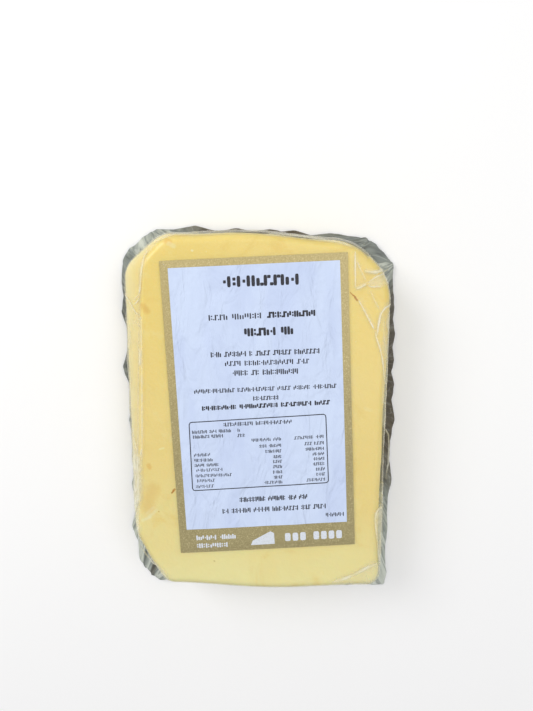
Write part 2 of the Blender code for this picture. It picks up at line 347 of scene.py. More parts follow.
class GeometryCanvas(NodeCanvas):
    """Builds one Geometry Nodes tree that ends in Realize Instances and Set Material."""

    def __init__(self, name: str, **sizes: str) -> None:
        """Start a tree with its inputs.

        Args:
            name: the tree's name.
            sizes: the kind of each named input, after the geometry.
        """
        super().__init__(bpy.data.node_groups.new(name, "GeometryNodeTree"))
        self.names: dict = {}
        for title, kind in {"Geometry": "Geometry", **sizes, "Finish": "Material"}.items():
            socket = self.tree.interface.new_socket(title, in_out="INPUT",
                                                    socket_type="NodeSocket" + kind)
            self.names[title] = socket.identifier
        self.tree.interface.new_socket("Geometry", in_out="OUTPUT",
                                       socket_type="NodeSocketGeometry")
        self.inputs = self.add("NodeGroupInput").outputs
        self.place = self.get("GeometryNodeInputPosition")

    def stored(self, name: str, kind: str = "FLOAT") -> NodeSocket:
        """A value that is stored on the points."""
        return self.get("GeometryNodeInputNamedAttribute", {"Name": name}, data_type=kind)

    def keep(self, geometry: NodeSocket, name: str, value: NodeSocket,
             kind: str = "FLOAT") -> NodeSocket:
        """Store a value on the points of a geometry."""
        return self.get("GeometryNodeStoreNamedAttribute", {
            "Geometry": geometry, "Name": name, "Value": value}, data_type=kind, domain="POINT")

    def blurred(self, value: NodeSocket, rounds: int) -> NodeSocket:
        """A vector, evened out along the curve in a number of rounds."""
        return self.get("GeometryNodeBlurAttribute", {"Value": value, "Iterations": rounds},
                        data_type="FLOAT_VECTOR")

    def shape_of(self, title: str) -> NodeSocket:
        """The geometry of the object that a named input gives."""
        return self.add("GeometryNodeObjectInfo", {"Object": self.inputs[title]},
                        transform_space="ORIGINAL").outputs["Geometry"]

    def nearest(self, target: NodeSocket, place: NodeSocket) -> NodeSocket:
        """The point of a surface that is nearest to a place."""
        return self.add("GeometryNodeProximity", {0: target, 2: place},
                        target_element="FACES").outputs["Position"]

    def beneath(self, target: NodeSocket) -> NodeSocket:
        """The point of a surface straight above or below each place, within reach."""
        above = self.vector("ADD", self.place, (0.0, 0.0, RAY_RISE))
        return self.add("GeometryNodeRaycast", {
            "Target Geometry": target, "Source Position": above,
            "Ray Direction": (0.0, 0.0, -1.0), "Ray Length": RAY_REACH}).outputs["Hit Position"]

    def moved(self, geometry: NodeSocket, place: NodeSocket,
              offset: NodeSocket | tuple = (0.0, 0.0, 0.0)) -> NodeSocket:
        """Put the points of a geometry in a place, with an offset."""
        return self.get("GeometryNodeSetPosition", {
            "Geometry": geometry, "Position": place, "Offset": offset})

    def finish(self, geometry: NodeSocket) -> None:
        """Realize the instances, set the material and link the output."""
        real = self.get("GeometryNodeRealizeInstances", {0: geometry})
        dressed = self.get("GeometryNodeSetMaterial", {
            "Geometry": real, "Material": self.inputs["Finish"]})
        self.add("NodeGroupOutput", {0: dressed})

    def run(self, obj: Object, slot: str, **values: object) -> Object:
        """Run the tree on an object and keep the result as a plain mesh.

        Args:
            obj: the object whose geometry goes in.
            slot: the record's material slot; not used.
            values: a value for each named input.

        Returns:
            The finished piece, of the same name.
        """
        modifier = obj.modifiers.new("nodes", "NODES")
        modifier.node_group = self.tree
        for title, value in values.items():
            modifier[self.names[title]] = value
        bpy.context.view_layer.update()
        graph = bpy.context.evaluated_depsgraph_get()
        mesh = bpy.data.meshes.new_from_object(obj.evaluated_get(graph), depsgraph=graph)
        name = obj.name
        obj.modifiers.clear()
        bpy.data.objects.remove(obj, do_unlink=True)
        mesh.name = name
        return dress(add_object(name, mesh))


def add_object(name: str, data: ID) -> Object:
    """Put a mesh, curve, light or camera into the scene at the origin."""
    obj = bpy.data.objects.new(name, data)
    bpy.context.scene.collection.objects.link(obj)
    return obj


def dress(piece: Object) -> Object:
    """Let a piece ride on the body."""
    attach(piece, "root")
    return piece


def poly_curve(name: str, lines: list, cyclic: bool = False) -> Object:
    """Make a curve object of straight stretches.

    Args:
        name: its name.
        lines: the points of each line, in metres, and its radius.
        cyclic: closes the lines.

    Returns:
        The object.
    """
    curve = bpy.data.curves.new(name, "CURVE")
    curve.dimensions = "3D"
    for points, radius in lines:
        spline = curve.splines.new("POLY")
        spline.points.add(len(points) - 1)
        spline.use_cyclic_u = cyclic
        for point, place in zip(spline.points, points):
            point.co = (*place, 1.0)
            point.radius = radius
    return add_object(name, curve)


def mesh_from(name: str, points: np.ndarray, faces: list) -> Mesh:
    """Make a smooth-shaded mesh.

    Args:
        name: the mesh's name.
        points: x, y and z of each point, in metres.
        faces: the point numbers of each face.

    Returns:
        The mesh.
    """
    mesh = bpy.data.meshes.new(name)
    mesh.from_pydata(points.tolist(), [], faces)
    mesh.shade_smooth()
    mesh.update()
    return mesh


def store(mesh: Mesh, name: str, values: np.ndarray) -> None:
    """Store one number for each point of a mesh."""
    attribute = mesh.attributes.new(name, "FLOAT", "POINT")
    attribute.data.foreach_set("value", np.asarray(values, np.float32))


@dataclass(frozen=True)
class PhotoCamera:
    """The camera that the photograph was taken with, as fitted to the label's corners.

    Attributes:
        label_top: the middle of the label's top in the row frame, in metres.
        focal: focal length in pixels.
        centre: the photograph's middle, in pixels.
        pitch: turn about the camera's x axis, in degrees.
        yaw: turn about the camera's y axis, in degrees.
        eye: place of the eye in millimetres from the middle of the label's top.
        sensor: width of Blender's sensor, in millimetres.
        clip: nearest and farthest distance that it sees, in metres.
    """

    label_top: np.ndarray
    focal: float = 534.0
    centre: tuple = (PHOTO_WIDTH / 2, PHOTO_HEIGHT / 2)
    pitch: float = 8.42398219
    yaw: float = 0.83490275
    eye: tuple = (-0.78239679, 43.66338244, 173.14239217)
    sensor: float = 36.0
    clip: tuple = (0.01, 10.0)

    @property
    def middle(self) -> np.ndarray:
        """The label's middle in the row frame, down on the floor, in metres."""
        return self.label_top * np.array((1.0, 1.0, 0.0))

    @property
    def place(self) -> np.ndarray:
        """Place of the eye in the row frame, in metres."""
        return self.label_top + np.array(self.eye) * MM

    @property
    def turn(self) -> np.ndarray:
        """Rotation from the row frame to the camera's axes."""
        a, b = math.radians(self.pitch), math.radians(self.yaw)
        about_x = np.array(((1, 0, 0), (0, math.cos(a), -math.sin(a)),
                            (0, math.sin(a), math.cos(a))))
        about_y = np.array(((math.cos(b), 0, math.sin(b)), (0, 1, 0),
                            (-math.sin(b), 0, math.cos(b))))
        return about_y @ about_x

    def project(self, points: np.ndarray) -> np.ndarray:
        """Pixels at which points show, which are given in metres in the row frame."""
        seen = (points - self.place) @ self.turn.T
        across = self.centre[0] + self.focal * seen[:, 0] / -seen[:, 2]
        down = self.centre[1] - self.focal * seen[:, 1] / -seen[:, 2]
        return np.column_stack((across, down))

    def ray(self, pixel: tuple) -> np.ndarray:
        """Direction in the row frame in which a pixel looks."""
        seen = np.array((pixel[0] - self.centre[0], self.centre[1] - pixel[1], -self.focal))
        return unit(self.turn.T @ seen)

    def on_label(self, pixel: tuple, drop: float = 0.0) -> np.ndarray:
        """Point at which a pixel's ray meets the level of the label's top, or one below it."""
        direction = self.ray(pixel)
        height = self.label_top[2] - drop
        return self.place + direction * (height - self.place[2]) / direction[2]

    def build(self) -> None:
        """Put the camera into the scene."""
        data = bpy.data.cameras.new("photo_camera")
        data.sensor_width = self.sensor
        data.lens = self.focal / PHOTO_HEIGHT * self.sensor
        data.clip_start, data.clip_end = self.clip
        camera = add_object("photo_camera", data)
        turn = Matrix(self.turn.T.tolist()).to_4x4()
        camera.matrix_world = Matrix.Translation(self.place.tolist()) @ turn
        bpy.context.scene.camera = camera


@dataclass(frozen=True)
class PackShape:
    """Sizes and outlines of the sealed pack, as the solid model has them, in millimetres.

    Attributes:
        height: height of the face's middle.
        crown: how much lower the face's far corners lie.
        half_width: half of the face's width for the crown.
        half_length: half of the face's length for the crown.
        edge_depth: height of the rounded edge.
        fin_thickness: thickness of the fin.
        fin_lift: lowest clearance of the fin's edge.
        fin_wave: how far the edge waves up and down.
        fin_wave_length: length of such a wave.
        ripple_share: part of the wave that is ripples of half that length.
        fin_root: height where the film leaves the wall.
        fin_midway: place of the fin's bend between root and edge.
        fin_midway_height: height of that bend.
        pleat_share: how much of a tip shows at the wall's foot.
        fineness: how many steps are made of each step of the solid.
    """

    height: float = 22.5
    crown: float = 0.6
    half_width: float = 41.0
    half_length: float = 60.0
    edge_depth: float = 3.0
    fin_thickness: float = 0.6
    fin_lift: float = 0.3
    fin_wave: float = 0.7
    fin_wave_length: float = 31.0
    ripple_share: float = 0.4
    fin_root: float = 3.4
    fin_midway: float = 0.45
    fin_midway_height: float = 1.5
    pleat_share: float = 0.35
    fineness: int = 4

    @staticmethod
    def fin_tip(side: int, share: float) -> float:
        """How far the fin's tips reach out at one place along a side."""
        reaches = [reach * (1.0 - abs(share - place) / half)
                   for place, reach, half in FIN_TIPS[side]]
        return max(0.0, *reaches)

    def corner_arc(self, before: np.ndarray, corner: np.ndarray, after: np.ndarray) -> np.ndarray:
        """Round one corner.

        Args:
            before: the corner before it.
            corner: x, y and radius.
            after: the corner after it.

        Returns:
            x and y of the arc's points.
        """
        to_before = unit(before[:2] - corner[:2])
        to_after = unit(after[:2] - corner[:2])
        half = 0.5 * math.acos(float(to_before @ to_after))
        inward = unit(to_before + to_after)
        centre = corner[:2] + inward * corner[2] / math.sin(half)
        first = corner[:2] + to_before * corner[2] / math.tan(half) - centre
        turns = np.linspace(0.0, math.pi - 2.0 * half, ARC_STEPS * self.fineness + 1)
        angles = math.atan2(first[1], first[0]) + turns
        return centre + corner[2] * np.column_stack((np.cos(angles), np.sin(angles)))

    def outline(self, corners: np.ndarray, bows: tuple, tips: float = 0.0) -> np.ndarray:
        """Walk once around a rounded outline.

        Args:
            corners: x, y and radius of each corner, anticlockwise.
            bows: how far the middle of each side stands out.
            tips: how much of the fin's tips is added.

        Returns:
            x and y of each point, in millimetres.
        """
        count = len(corners)
        arcs = [self.corner_arc(corners[i - 1], corners[i], corners[(i + 1) % count])
                for i in range(count)]
        points = []
        for i in range(count):
            points.extend(arcs[i])
            start = arcs[i][-1]
            end = arcs[(i + 1) % count][0]
            along = unit(end - start)
            outward = np.array((along[1], -along[0]))
            steps = SIDE_STEPS[i] * self.fineness
            for step in range(1, steps):
                share = step / steps
                out = bows[i] * math.sin(math.pi * share) ** 2 + tips * self.fin_tip(i, share)
                points.append(start + (end - start) * share + outward * out)
        return np.array(points)

    def side_places(self) -> np.ndarray:
        """Where each point of an outline lies: the side's number plus its share of the way."""
        places = []
        for i, steps in enumerate(SIDE_STEPS):
            places.extend([float(i)] * (ARC_STEPS * self.fineness + 1))
            places.extend(i + step / (steps * self.fineness)
                          for step in range(1, steps * self.fineness))
        return np.array(places)

    @staticmethod
    def move_sides(corners: np.ndarray, distances: np.ndarray) -> np.ndarray:
        """Move each side outward and find where neighbouring sides now meet.

        Args:
            corners: x, y and radius of each corner.
            distances: how far each side moves.

        Returns:
            The new corners.
        """
        points = corners[:, :2]
        along = np.roll(points, -1, axis=0) - points
        along /= np.linalg.norm(along, axis=1)[:, None]
        starts = points + np.column_stack((along[:, 1], -along[:, 0])) * distances[:, None]
        moved = corners.copy()
        for i in range(len(corners)):
            gap = starts[i] - starts[i - 1]
            cross = along[i - 1][0] * along[i][1] - along[i - 1][1] * along[i][0]
            reach = (gap[0] * along[i][1] - gap[1] * along[i][0]) / cross
            moved[i, :2] = starts[i - 1] + along[i - 1] * reach
            growth = 0.5 * (distances[i - 1] + distances[i])
            moved[i, 2] = max(corners[i, 2] + growth, SMALLEST_RADIUS)
        return moved

    @staticmethod
    def wall_corners(level: float) -> np.ndarray:
        """Corners of the wall at a level, from 0 at its foot to 1 at its rounded edge."""
        foot, belly, top = (np.array(t) for t in (FOOT_CORNERS, BELLY_CORNERS, TOP_CORNERS))
        swell = belly - 0.5 * (foot + top)
        return foot + (top - foot) * level + swell * math.sin(math.pi * level)

    def face_height(self, points: np.ndarray) -> np.ndarray:
        """Height of the crowned face at each point, in millimetres."""
        across = (points[:, 0] / self.half_width) ** 2
        along = (points[:, 1] / self.half_length) ** 2
        return self.height - 0.5 * self.crown * (across + along)

    @staticmethod
    def lifted(ring: np.ndarray, height: float | np.ndarray) -> np.ndarray:
        """Give an outline a height, one for all points or one for each."""
        return np.column_stack((ring, np.broadcast_to(height, len(ring))))

    def wall_ring(self, level: float, inside: float = 0.0, tips: float | None = None,
                  ) -> np.ndarray:
        """One ring of the wall.

        Args:
            level: from 0 at the film's root to 1 at the rounded edge.
            inside: how far within the film's surface the ring lies.
            tips: how much of the fin's tips shows as pleats.

        Returns:
            The ring's points, in millimetres.
        """
        top = self.height - self.edge_depth - self.crown
        corners = self.move_sides(self.wall_corners(level), np.full(len(SIDE_STEPS), -inside))
        share = self.pleat_share * (1.0 - level) if tips is None else tips
        ring = self.outline(corners, CHUNK_BOWS, share)
        return self.lifted(ring, self.fin_root + (top - self.fin_root) * level)

    def edge_ring(self, angle: float, inside: float = 0.0) -> np.ndarray:
        """One ring of the rounded edge.

        Args:
            angle: degrees from the wall at 0 to the face at 90.
            inside: how far within the film's surface the ring lies.

        Returns:
            The ring's points, in millimetres.
        """
        turn = math.radians(angle)
        insets = np.array(EDGE_INSETS) * (1.0 - math.cos(turn)) + inside * math.cos(turn)
        corners = self.move_sides(self.wall_corners(1.0), -insets)
        ring = self.outline(corners, CHUNK_BOWS)
        drop = self.edge_depth * (1.0 - math.sin(turn)) + inside * math.sin(turn)
        return self.lifted(ring, self.face_height(ring) - drop)

    def face_ring(self, share: float, inside: float = 0.0) -> np.ndarray:
        """One ring of the face, share of the way from its edge to its middle."""
        flat = self.edge_ring(90.0, inside)[:, :2] * (1.0 - share)
        return self.lifted(flat, self.face_height(flat) - inside)

    def fin_lines(self) -> tuple:
        """The fin's edge and its lift.

        Returns:
            x and y of the edge, and the height of its underside at each point.
        """
        edge = self.outline(np.array(FIN_CORNERS), FIN_BOWS, 1.0)
        travelled, whole = walk_around(edge)
        waves = round(whole / self.fin_wave_length)
        turn = 2.0 * math.pi * waves * travelled / whole
        swing = (1.0 - self.ripple_share) * np.sin(turn) + self.ripple_share * np.sin(2.0 * turn)
        return edge, self.fin_lift + 0.5 * self.fin_wave * (1.0 + swing)


def skin_rings(rings: list, low_middle: np.ndarray, high_middle: np.ndarray) -> tuple:
    """Close a stack of rings into one skin.

    Args:
        rings: point arrays of equal length, from the middle of the back up to that of the face.
        low_middle: the point that closes the back.
        high_middle: the point that closes the face.

    Returns:
        All points and the faces.
    """
    count = len(rings[0])
    points = np.vstack(rings + [low_middle[None, :], high_middle[None, :]])
    faces = []
    for row in range(len(rings) - 1):
        base = row * count
        for i in range(count):
            j = (i + 1) % count
            faces.append((base + i, base + j, base + count + j, base + count + i))
    last = (len(rings) - 1) * count
    bottom = len(points) - 2
    top = len(points) - 1
    for i in range(count):
        j = (i + 1) % count
        faces.append((j, i, bottom))
        faces.append((last + i, last + j, top))
    return points, faces


@dataclass(frozen=True)
class FlawAndLight:
    """A small mark in the cheese, or a painted highlight or shade on it, between two pixels of the
    photograph.

    Attributes:
        start: pixel at which it starts.
        end: pixel at which it ends.
        radius: half of its width, in millimetres.
        colour: its colour, from 0 to 255.
        strength: how much of that colour shows.
        softness: width of its fading rim, in millimetres.
    """

    start: tuple
    end: tuple
    radius: float
    colour: tuple
    strength: float
    softness: float


FLAWS_AND_LIGHT = (
    FlawAndLight((350.6, 292.6), (353.4, 295.6), 0.08, (198, 140, 58), 0.85, 0.20),
    FlawAndLight((353.6, 295.4), (355.4, 297.0), 0.12, (186, 128, 50), 0.85, 0.22),
    FlawAndLight((355.2, 297.4), (357.2, 300.2), 0.20, (180, 122, 46), 0.80, 0.22),
    FlawAndLight((171.8, 493.2), (173.6, 491.0), 0.16, (176, 116, 40), 0.85, 0.24),
    FlawAndLight((173.4, 490.8), (174.4, 489.8), 0.22, (196, 136, 56), 0.75, 0.30),
    FlawAndLight((166.0, 240.5), (169.0, 241.5), 0.45, (228, 182, 92), 0.50, 0.90),
    # A painted highlight on the cheese.
    FlawAndLight((168.5, 243.5), (173.5, 246.0), 0.25, (250, 240, 196), 0.55, 0.90),
    FlawAndLight((193.0, 232.6), (197.0, 232.8), 0.14, (150, 134, 84), 0.70, 0.25),
    FlawAndLight((159.5, 449.4), (163.4, 448.4), 0.10, (248, 242, 200), 0.70, 0.35),
    FlawAndLight((366.0, 409.0), (370.0, 410.5), 0.25, (248, 240, 196), 0.25, 0.80),
    FlawAndLight((142.5, 521.0), (150.0, 517.5), 0.14, (248, 242, 204), 0.75, 0.70),
    FlawAndLight((149.0, 517.0), (156.5, 510.4), 0.12, (248, 242, 204), 0.70, 0.80),
    FlawAndLight((147.0, 513.5), (153.0, 508.0), 0.08, (248, 242, 204), 0.55, 0.70),
    FlawAndLight((158.0, 509.5), (176.0, 498.5), 0.30, (240, 230, 168), 0.45, 1.40),
    FlawAndLight((147.0, 508.0), (152.0, 490.0), 0.60, (230, 190, 104), 0.34, 3.40),
    FlawAndLight((148.4, 465.6), (149.6, 468.0), 0.30, (232, 188, 100), 0.45, 0.80),
    # Painted shade along the face's rounded left edge.
    FlawAndLight((142.5, 306.0), (146.5, 311.0), 0.35, (224, 180, 96), 0.45, 1.20),
    FlawAndLight((191.5, 250.4), (192.3, 250.6), 0.18, (252, 246, 214), 0.80, 0.20),
    FlawAndLight((355.3, 253.4), (355.7, 253.8), 0.08, (120, 96, 60), 0.80, 0.10),
    FlawAndLight((158.4, 511.8), (158.8, 512.2), 0.10, (206, 170, 96), 0.70, 0.15),
    FlawAndLight((214.0, 561.4), (214.6, 561.8), 0.12, (196, 176, 110), 0.60, 0.20),
)


@dataclass(frozen=True)
class CheeseFinish:
    """Pale yellow hard cheese, warmer at the pack's upper end and paler at its lower end.

    Attributes:
        warm: colour of the upper end, from 0 to 255.
        middle: colour of the middle.
        pale: colour of the lower end.
        wall: paler colour of random milky patches, and of the walls' painted sheen.
        deep: colour of the darker mottles.
        roughness: how matt it is.
    """

    warm: tuple = (246, 224, 143)
    middle: tuple = (246, 226, 157)
    pale: tuple = (247, 240, 186)
    wall: tuple = (249, 241, 192)
    deep: tuple = (235, 206, 116)
    roughness: float = 0.52

    def build(self, flaws_and_light: list) -> Material:
        """Make the material.

        Args:
            flaws_and_light: start, end and the Flaw of each mark, in metres.

        Returns:
            The material.
        """
        canvas = ShaderCanvas("hard_cheese")
        parts = canvas.add("ShaderNodeSeparateXYZ", {0: canvas.place}).outputs
        cloud = canvas.noise(26.0, 3.0, 0.55, 0.6)
        drift = canvas.math("MULTIPLY_ADD", canvas.math("SUBTRACT", cloud, 0.5), 0.05, parts[1])
        upper = canvas.between(drift, -0.015, 0.05)
        lower = canvas.between(drift, -0.062, -0.012, 1.0, 0.0)
        colour = canvas.blend(upper, self.middle, self.warm)
        colour = canvas.blend(lower, colour, self.pale)
        mottle = canvas.between(canvas.noise(60.0, 4.0, 0.6, 1.2), 0.52, 0.74)
        colour = canvas.blend(canvas.math("MULTIPLY", mottle, 0.42), colour, self.deep)
        milky = canvas.between(canvas.noise(110.0, 3.0, 0.6), 0.60, 0.78, 0.0, 0.30)
        colour = canvas.blend(milky, colour, self.wall)
        # The walls and the rounded edge are painted paler, as the film's sheen on them.
        wall_sheen = canvas.between(parts[2], 0.012, 0.0205, 0.7, 0.0)
        colour = canvas.blend(wall_sheen, colour, self.wall)
        grain = canvas.noise(1500.0, 2.0, 0.6)
        colour = canvas.blend(canvas.between(grain, 0.35, 0.7, 0.0, 0.14), colour,
                              (250, 238, 190))
        specks = canvas.add("ShaderNodeTexVoronoi", {"Vector": canvas.place, "Scale": 420.0})
        fleck = canvas.between(specks.outputs["Distance"], 0.05, 0.10, 0.5, 0.0)
        rare = canvas.between(canvas.noise(300.0, 1.0), 0.60, 0.70)
        colour = canvas.blend(canvas.math("MULTIPLY", fleck, rare), colour, (252, 246, 214))
        depth = canvas.noise(900.0, 3.0, 0.6)
        on_face = canvas.between(parts[2], 0.0180, 0.0202)
        # Most of these marks are cracks and specks; one paints a highlight and one paints shade.
        for start, end, flaw_or_light in flaws_and_light:
            near = canvas.math("MULTIPLY", self.nearness(canvas, start, end, flaw_or_light), on_face)
            colour = canvas.blend(near, colour, flaw_or_light.colour)
        relief = canvas.bump(canvas.noise(120.0, 4.0, 0.6, 0.5), 0.00035)
        relief = canvas.bump(depth, 0.00006, 1.0, relief)
        return canvas.finish(canvas.principled({
            "Base Color": colour, "Roughness": self.roughness, "Normal": relief,
            "IOR": 1.45, "Specular IOR Level": 0.25, "Subsurface Weight": 0.18,
            "Subsurface Scale": 0.003, "Subsurface Radius": (1.0, 0.7, 0.35)}))

    @staticmethod
    def nearness(canvas: ShaderCanvas, start: np.ndarray, end: np.ndarray,
                 flaw_or_light: FlawAndLight) -> NodeSocket:
        """How strongly one mark shows at each place.

        Args:
            canvas: the material being built.
            start: one end of the mark, in metres.
            end: its other end.
            flaw_or_light: its width and strength.

        Returns:
            The strength's socket.
        """
        stretch = end - start
        flat = canvas.vector("MULTIPLY", canvas.vector("SUBTRACT", canvas.place, tuple(start)),
                             (1.0, 1.0, 0.0))
        per_length = tuple(stretch / max(float(stretch @ stretch), TINY))
        share = canvas.math("ADD", canvas.vector("DOT_PRODUCT", flat, per_length), 0.0, clamp=True)
        gap = canvas.vector("DISTANCE", flat, canvas.scaled(tuple(stretch), share))
        soft = flaw_or_light.softness * MM
        reach = flaw_or_light.radius * MM
        rough = canvas.math("MULTIPLY_ADD", canvas.noise(1400.0, 2.0), soft * 0.6, gap)
        return canvas.between(rough, reach + 0.25 * soft, (reach + soft) * 1.25,
                              flaw_or_light.strength, 0.0)


@dataclass(frozen=True)
class FilmFinish:
    """Clear vacuum film, milky and with a painted sheen where it is creased, and painted grey shade
    on its fin and low on the walls.

    Attributes:
        tint: colour of what shows through it, from 0 to 255.
        milky: colour of creased film and of its painted sheen.
        warm: dark, middle and light colour of the fin's painted shade where it is brownish.
        cool: the same where it is silvery.
        roughness: how matt its gloss is.
    """

    tint: tuple = (253, 253, 249)
    milky: tuple = (245, 242, 214)
    warm: tuple = ((84, 74, 58), (122, 114, 96), (176, 168, 146))
    cool: tuple = ((92, 98, 98), (146, 154, 150), (220, 226, 216))
    roughness: float = 0.2

    def build(self) -> Material:
        """Make the material; it reads the numbers that are stored on the skin's points."""
        canvas = ShaderCanvas("vacuum_film")
        haze, smoke, tone, warmth, walk, reach = (
            canvas.attribute(name) for name in ("haze", "smoke", "tone", "warmth", "walk",
                                                "reach"))
        across = canvas.get("ShaderNodeCombineXYZ", {
            0: canvas.math("MULTIPLY_ADD", reach, 0.0035, walk),
            1: canvas.math("MULTIPLY", reach, 0.0016)})
        loose = canvas.math("MULTIPLY_ADD", haze, 0.6, smoke, clamp=True)
        loose = canvas.math("MAXIMUM", loose, 0.10)
        crinkle = canvas.math("MULTIPLY", canvas.noise(260.0, 3.0, 0.55, 1.0), loose)
        ripple = canvas.math("MULTIPLY", canvas.noise(80.0, 3.0, 0.5, 0.8), loose)
        relief = canvas.bump(ripple, 0.0011)
        relief = canvas.bump(crinkle, 0.00020, 1.0, relief)
        folds = canvas.noise(520.0, 3.0, 0.6, 0.5, across)
        relief = canvas.bump(canvas.math("MULTIPLY", folds, smoke), 0.0005, 1.0, relief)
        clear = canvas.get("ShaderNodeBsdfTransparent", {"Color": linear(*self.tint)})
        gloss = canvas.get("ShaderNodeBsdfGlossy", {
            "Color": WHITE, "Roughness": self.roughness, "Normal": relief})
        rim = canvas.get("ShaderNodeFresnel", {"IOR": 1.45, "Normal": relief})
        shine = canvas.math("MULTIPLY", rim, 0.55)
        clean = canvas.layered(shine, clear, gloss)
        spread = canvas.math("MULTIPLY", canvas.math("SUBTRACT", folds, 0.5),
                             canvas.math("MULTIPLY_ADD", warmth, -1.1, 1.8))
        mixed = canvas.math("ADD", spread, tone, clamp=True)
        low, high = canvas.between(mixed, 0.0, 0.5), canvas.between(mixed, 0.5, 1.0)
        shades = [canvas.blend(high, canvas.blend(low, dark, mid), light)
                  for dark, mid, light in (self.cool, self.warm)]
        fin = canvas.blend(warmth, shades[0], shades[1])
        # Thin bright lines on the fin are painted highlights of its crinkles.
        vein = canvas.math("ABSOLUTE", canvas.math(
            "SUBTRACT", canvas.noise(300.0, 2.0, 0.5, 0.8, across), 0.5))
        glint = canvas.between(vein, 0.0, 0.03, 0.55, 0.0)
        fin = canvas.blend(canvas.math("MULTIPLY", glint, canvas.math("ADD", tone, 0.1)), fin,
                           (232, 236, 230))
        # The body layer paints a milky sheen, and grey shade on the fin and the walls' lower part.
        colour = canvas.blend(canvas.between(smoke, 0.05, 0.4), self.milky, fin)
        body = canvas.principled({
            "Base Color": colour, "Roughness": 0.36, "Normal": relief, "IOR": 1.45,
            "Specular IOR Level": 0.35})
        patchy = canvas.between(canvas.noise(150.0, 3.0, 0.55, 1.2), 0.30, 0.72, 0.6, 1.3)
        veil = canvas.math("MULTIPLY", haze, patchy, clamp=True)
        cover = canvas.math("MAXIMUM", veil, canvas.math("MULTIPLY", smoke, 0.82))
        return canvas.finish(canvas.layered(cover, clean, body))


@dataclass(frozen=True)
class CreaseFinish:
    """Film doubled over into a fine milky ridge, with a painted highlight along it.

    Attributes:
        name: the material's name.
        colour: its colour, from 0 to 255.
        cover: how much it hides.
    """

    name: str
    colour: tuple
    cover: float

    def build(self) -> Material:
        """Make the material."""
        canvas = ShaderCanvas(self.name)
        # The ridge's milky colour is partly a painted highlight, brighter in streaks.
        streak = canvas.noise(160.0, 3.0, 0.5, 0.6)
        colour = canvas.blend(canvas.between(streak, 0.3, 0.7), self.colour, (252, 250, 232))
        body = canvas.principled({
            "Base Color": colour, "Roughness": 0.28, "IOR": 1.5,
            "Normal": canvas.bump(canvas.noise(900.0, 2.0), 0.00008)})
        clear = canvas.get("ShaderNodeBsdfTransparent")
        cover = canvas.between(streak, 0.25, 0.75, self.cover * 0.75, min(self.cover * 1.2, 1.0))
        edge = canvas.between(canvas.attribute("side"), 0.15, 0.98, 1.0, 0.0)
        cover = canvas.math("MULTIPLY", cover, edge)
        return canvas.finish(canvas.layered(cover, clear, body))


@dataclass(frozen=True)
class PaperFinish:
    """Smooth white label paper, cool in daylight, with faint fibres and cockles.

    Attributes:
        light: its main colour, from 0 to 255.
        shade: colour of the painted shade of its cockles, in faint clouds.
        roughness: how matt it is.
    """

    light: tuple = (209, 223, 249)
    shade: tuple = (200, 214, 244)
    roughness: float = 0.62

    def build(self) -> Material:
        """Make the material."""
        canvas = ShaderCanvas("label_paper")
        # The faint clouds paint the shade of the paper's cockles.
        cloud = canvas.noise(75.0, 4.0, 0.6, 0.4, canvas.stretched((1.0, 0.35, 1.0), -0.05))
        fibre = canvas.noise(2600.0, 3.0, 0.7, 0.0, canvas.stretched((1.0, 0.6, 1.0), 0.6))
        colour = canvas.blend(canvas.between(cloud, 0.35, 0.68), self.light, self.shade)
        colour = canvas.blend(canvas.between(fibre, 0.3, 0.75, 0.0, 0.10), colour,
                              (188, 200, 230))
        dimple = canvas.noise(300.0, 2.0, 0.5, 0.5)
        colour = canvas.blend(canvas.between(dimple, 0.60, 0.75, 0.0, 0.22), colour,
                              (190, 204, 236))
        fold = canvas.noise(170.0, 3.0, 0.5, 0.6, canvas.stretched((1.0, 0.42, 1.0), -0.12))
        relief = canvas.bump(fold, 0.0017)
        relief = canvas.bump(fibre, 0.00002, 1.0, relief)
        return canvas.finish(canvas.principled({
            "Base Color": colour, "Roughness": self.roughness, "Normal": relief}))


@dataclass(frozen=True)
class GoldFinish:
    """Dull speckled gold print.

    Attributes:
        light: its colour at the label's upper end, from 0 to 255.
        dark: its colour at the lower end.
        sparkle: colour of the brightest specks.
        metallic: how metallic it is.
        roughness: how matt it is.
    """

    light: tuple = (186, 169, 116)
    dark: tuple = (163, 151, 108)
    sparkle: tuple = (238, 226, 176)
    metallic: float = 0.25
    roughness: float = 0.5

    def build(self) -> Material:
        """Make the material."""
        canvas = ShaderCanvas("gold_print")
        parts = canvas.add("ShaderNodeSeparateXYZ", {0: canvas.place}).outputs
        cloud = canvas.noise(45.0, 3.0, 0.6, 0.5)
        drift = canvas.math("MULTIPLY_ADD", canvas.math("SUBTRACT", cloud, 0.5), 0.06, parts[1])
        colour = canvas.blend(canvas.between(drift, -0.03, 0.045), self.dark, self.light)
        grain = canvas.noise(2400.0, 2.0, 0.8)
        colour = canvas.blend(canvas.between(grain, 0.50, 0.72, 0.0, 0.5), colour, self.sparkle)
        colour = canvas.blend(canvas.between(grain, 0.28, 0.46, 0.45, 0.0), colour,
                              (112, 100, 64))
        relief = canvas.bump(grain, 0.00003)
        return canvas.finish(canvas.principled({
            "Base Color": colour, "Metallic": self.metallic, "Roughness": self.roughness,
            "Normal": relief}))


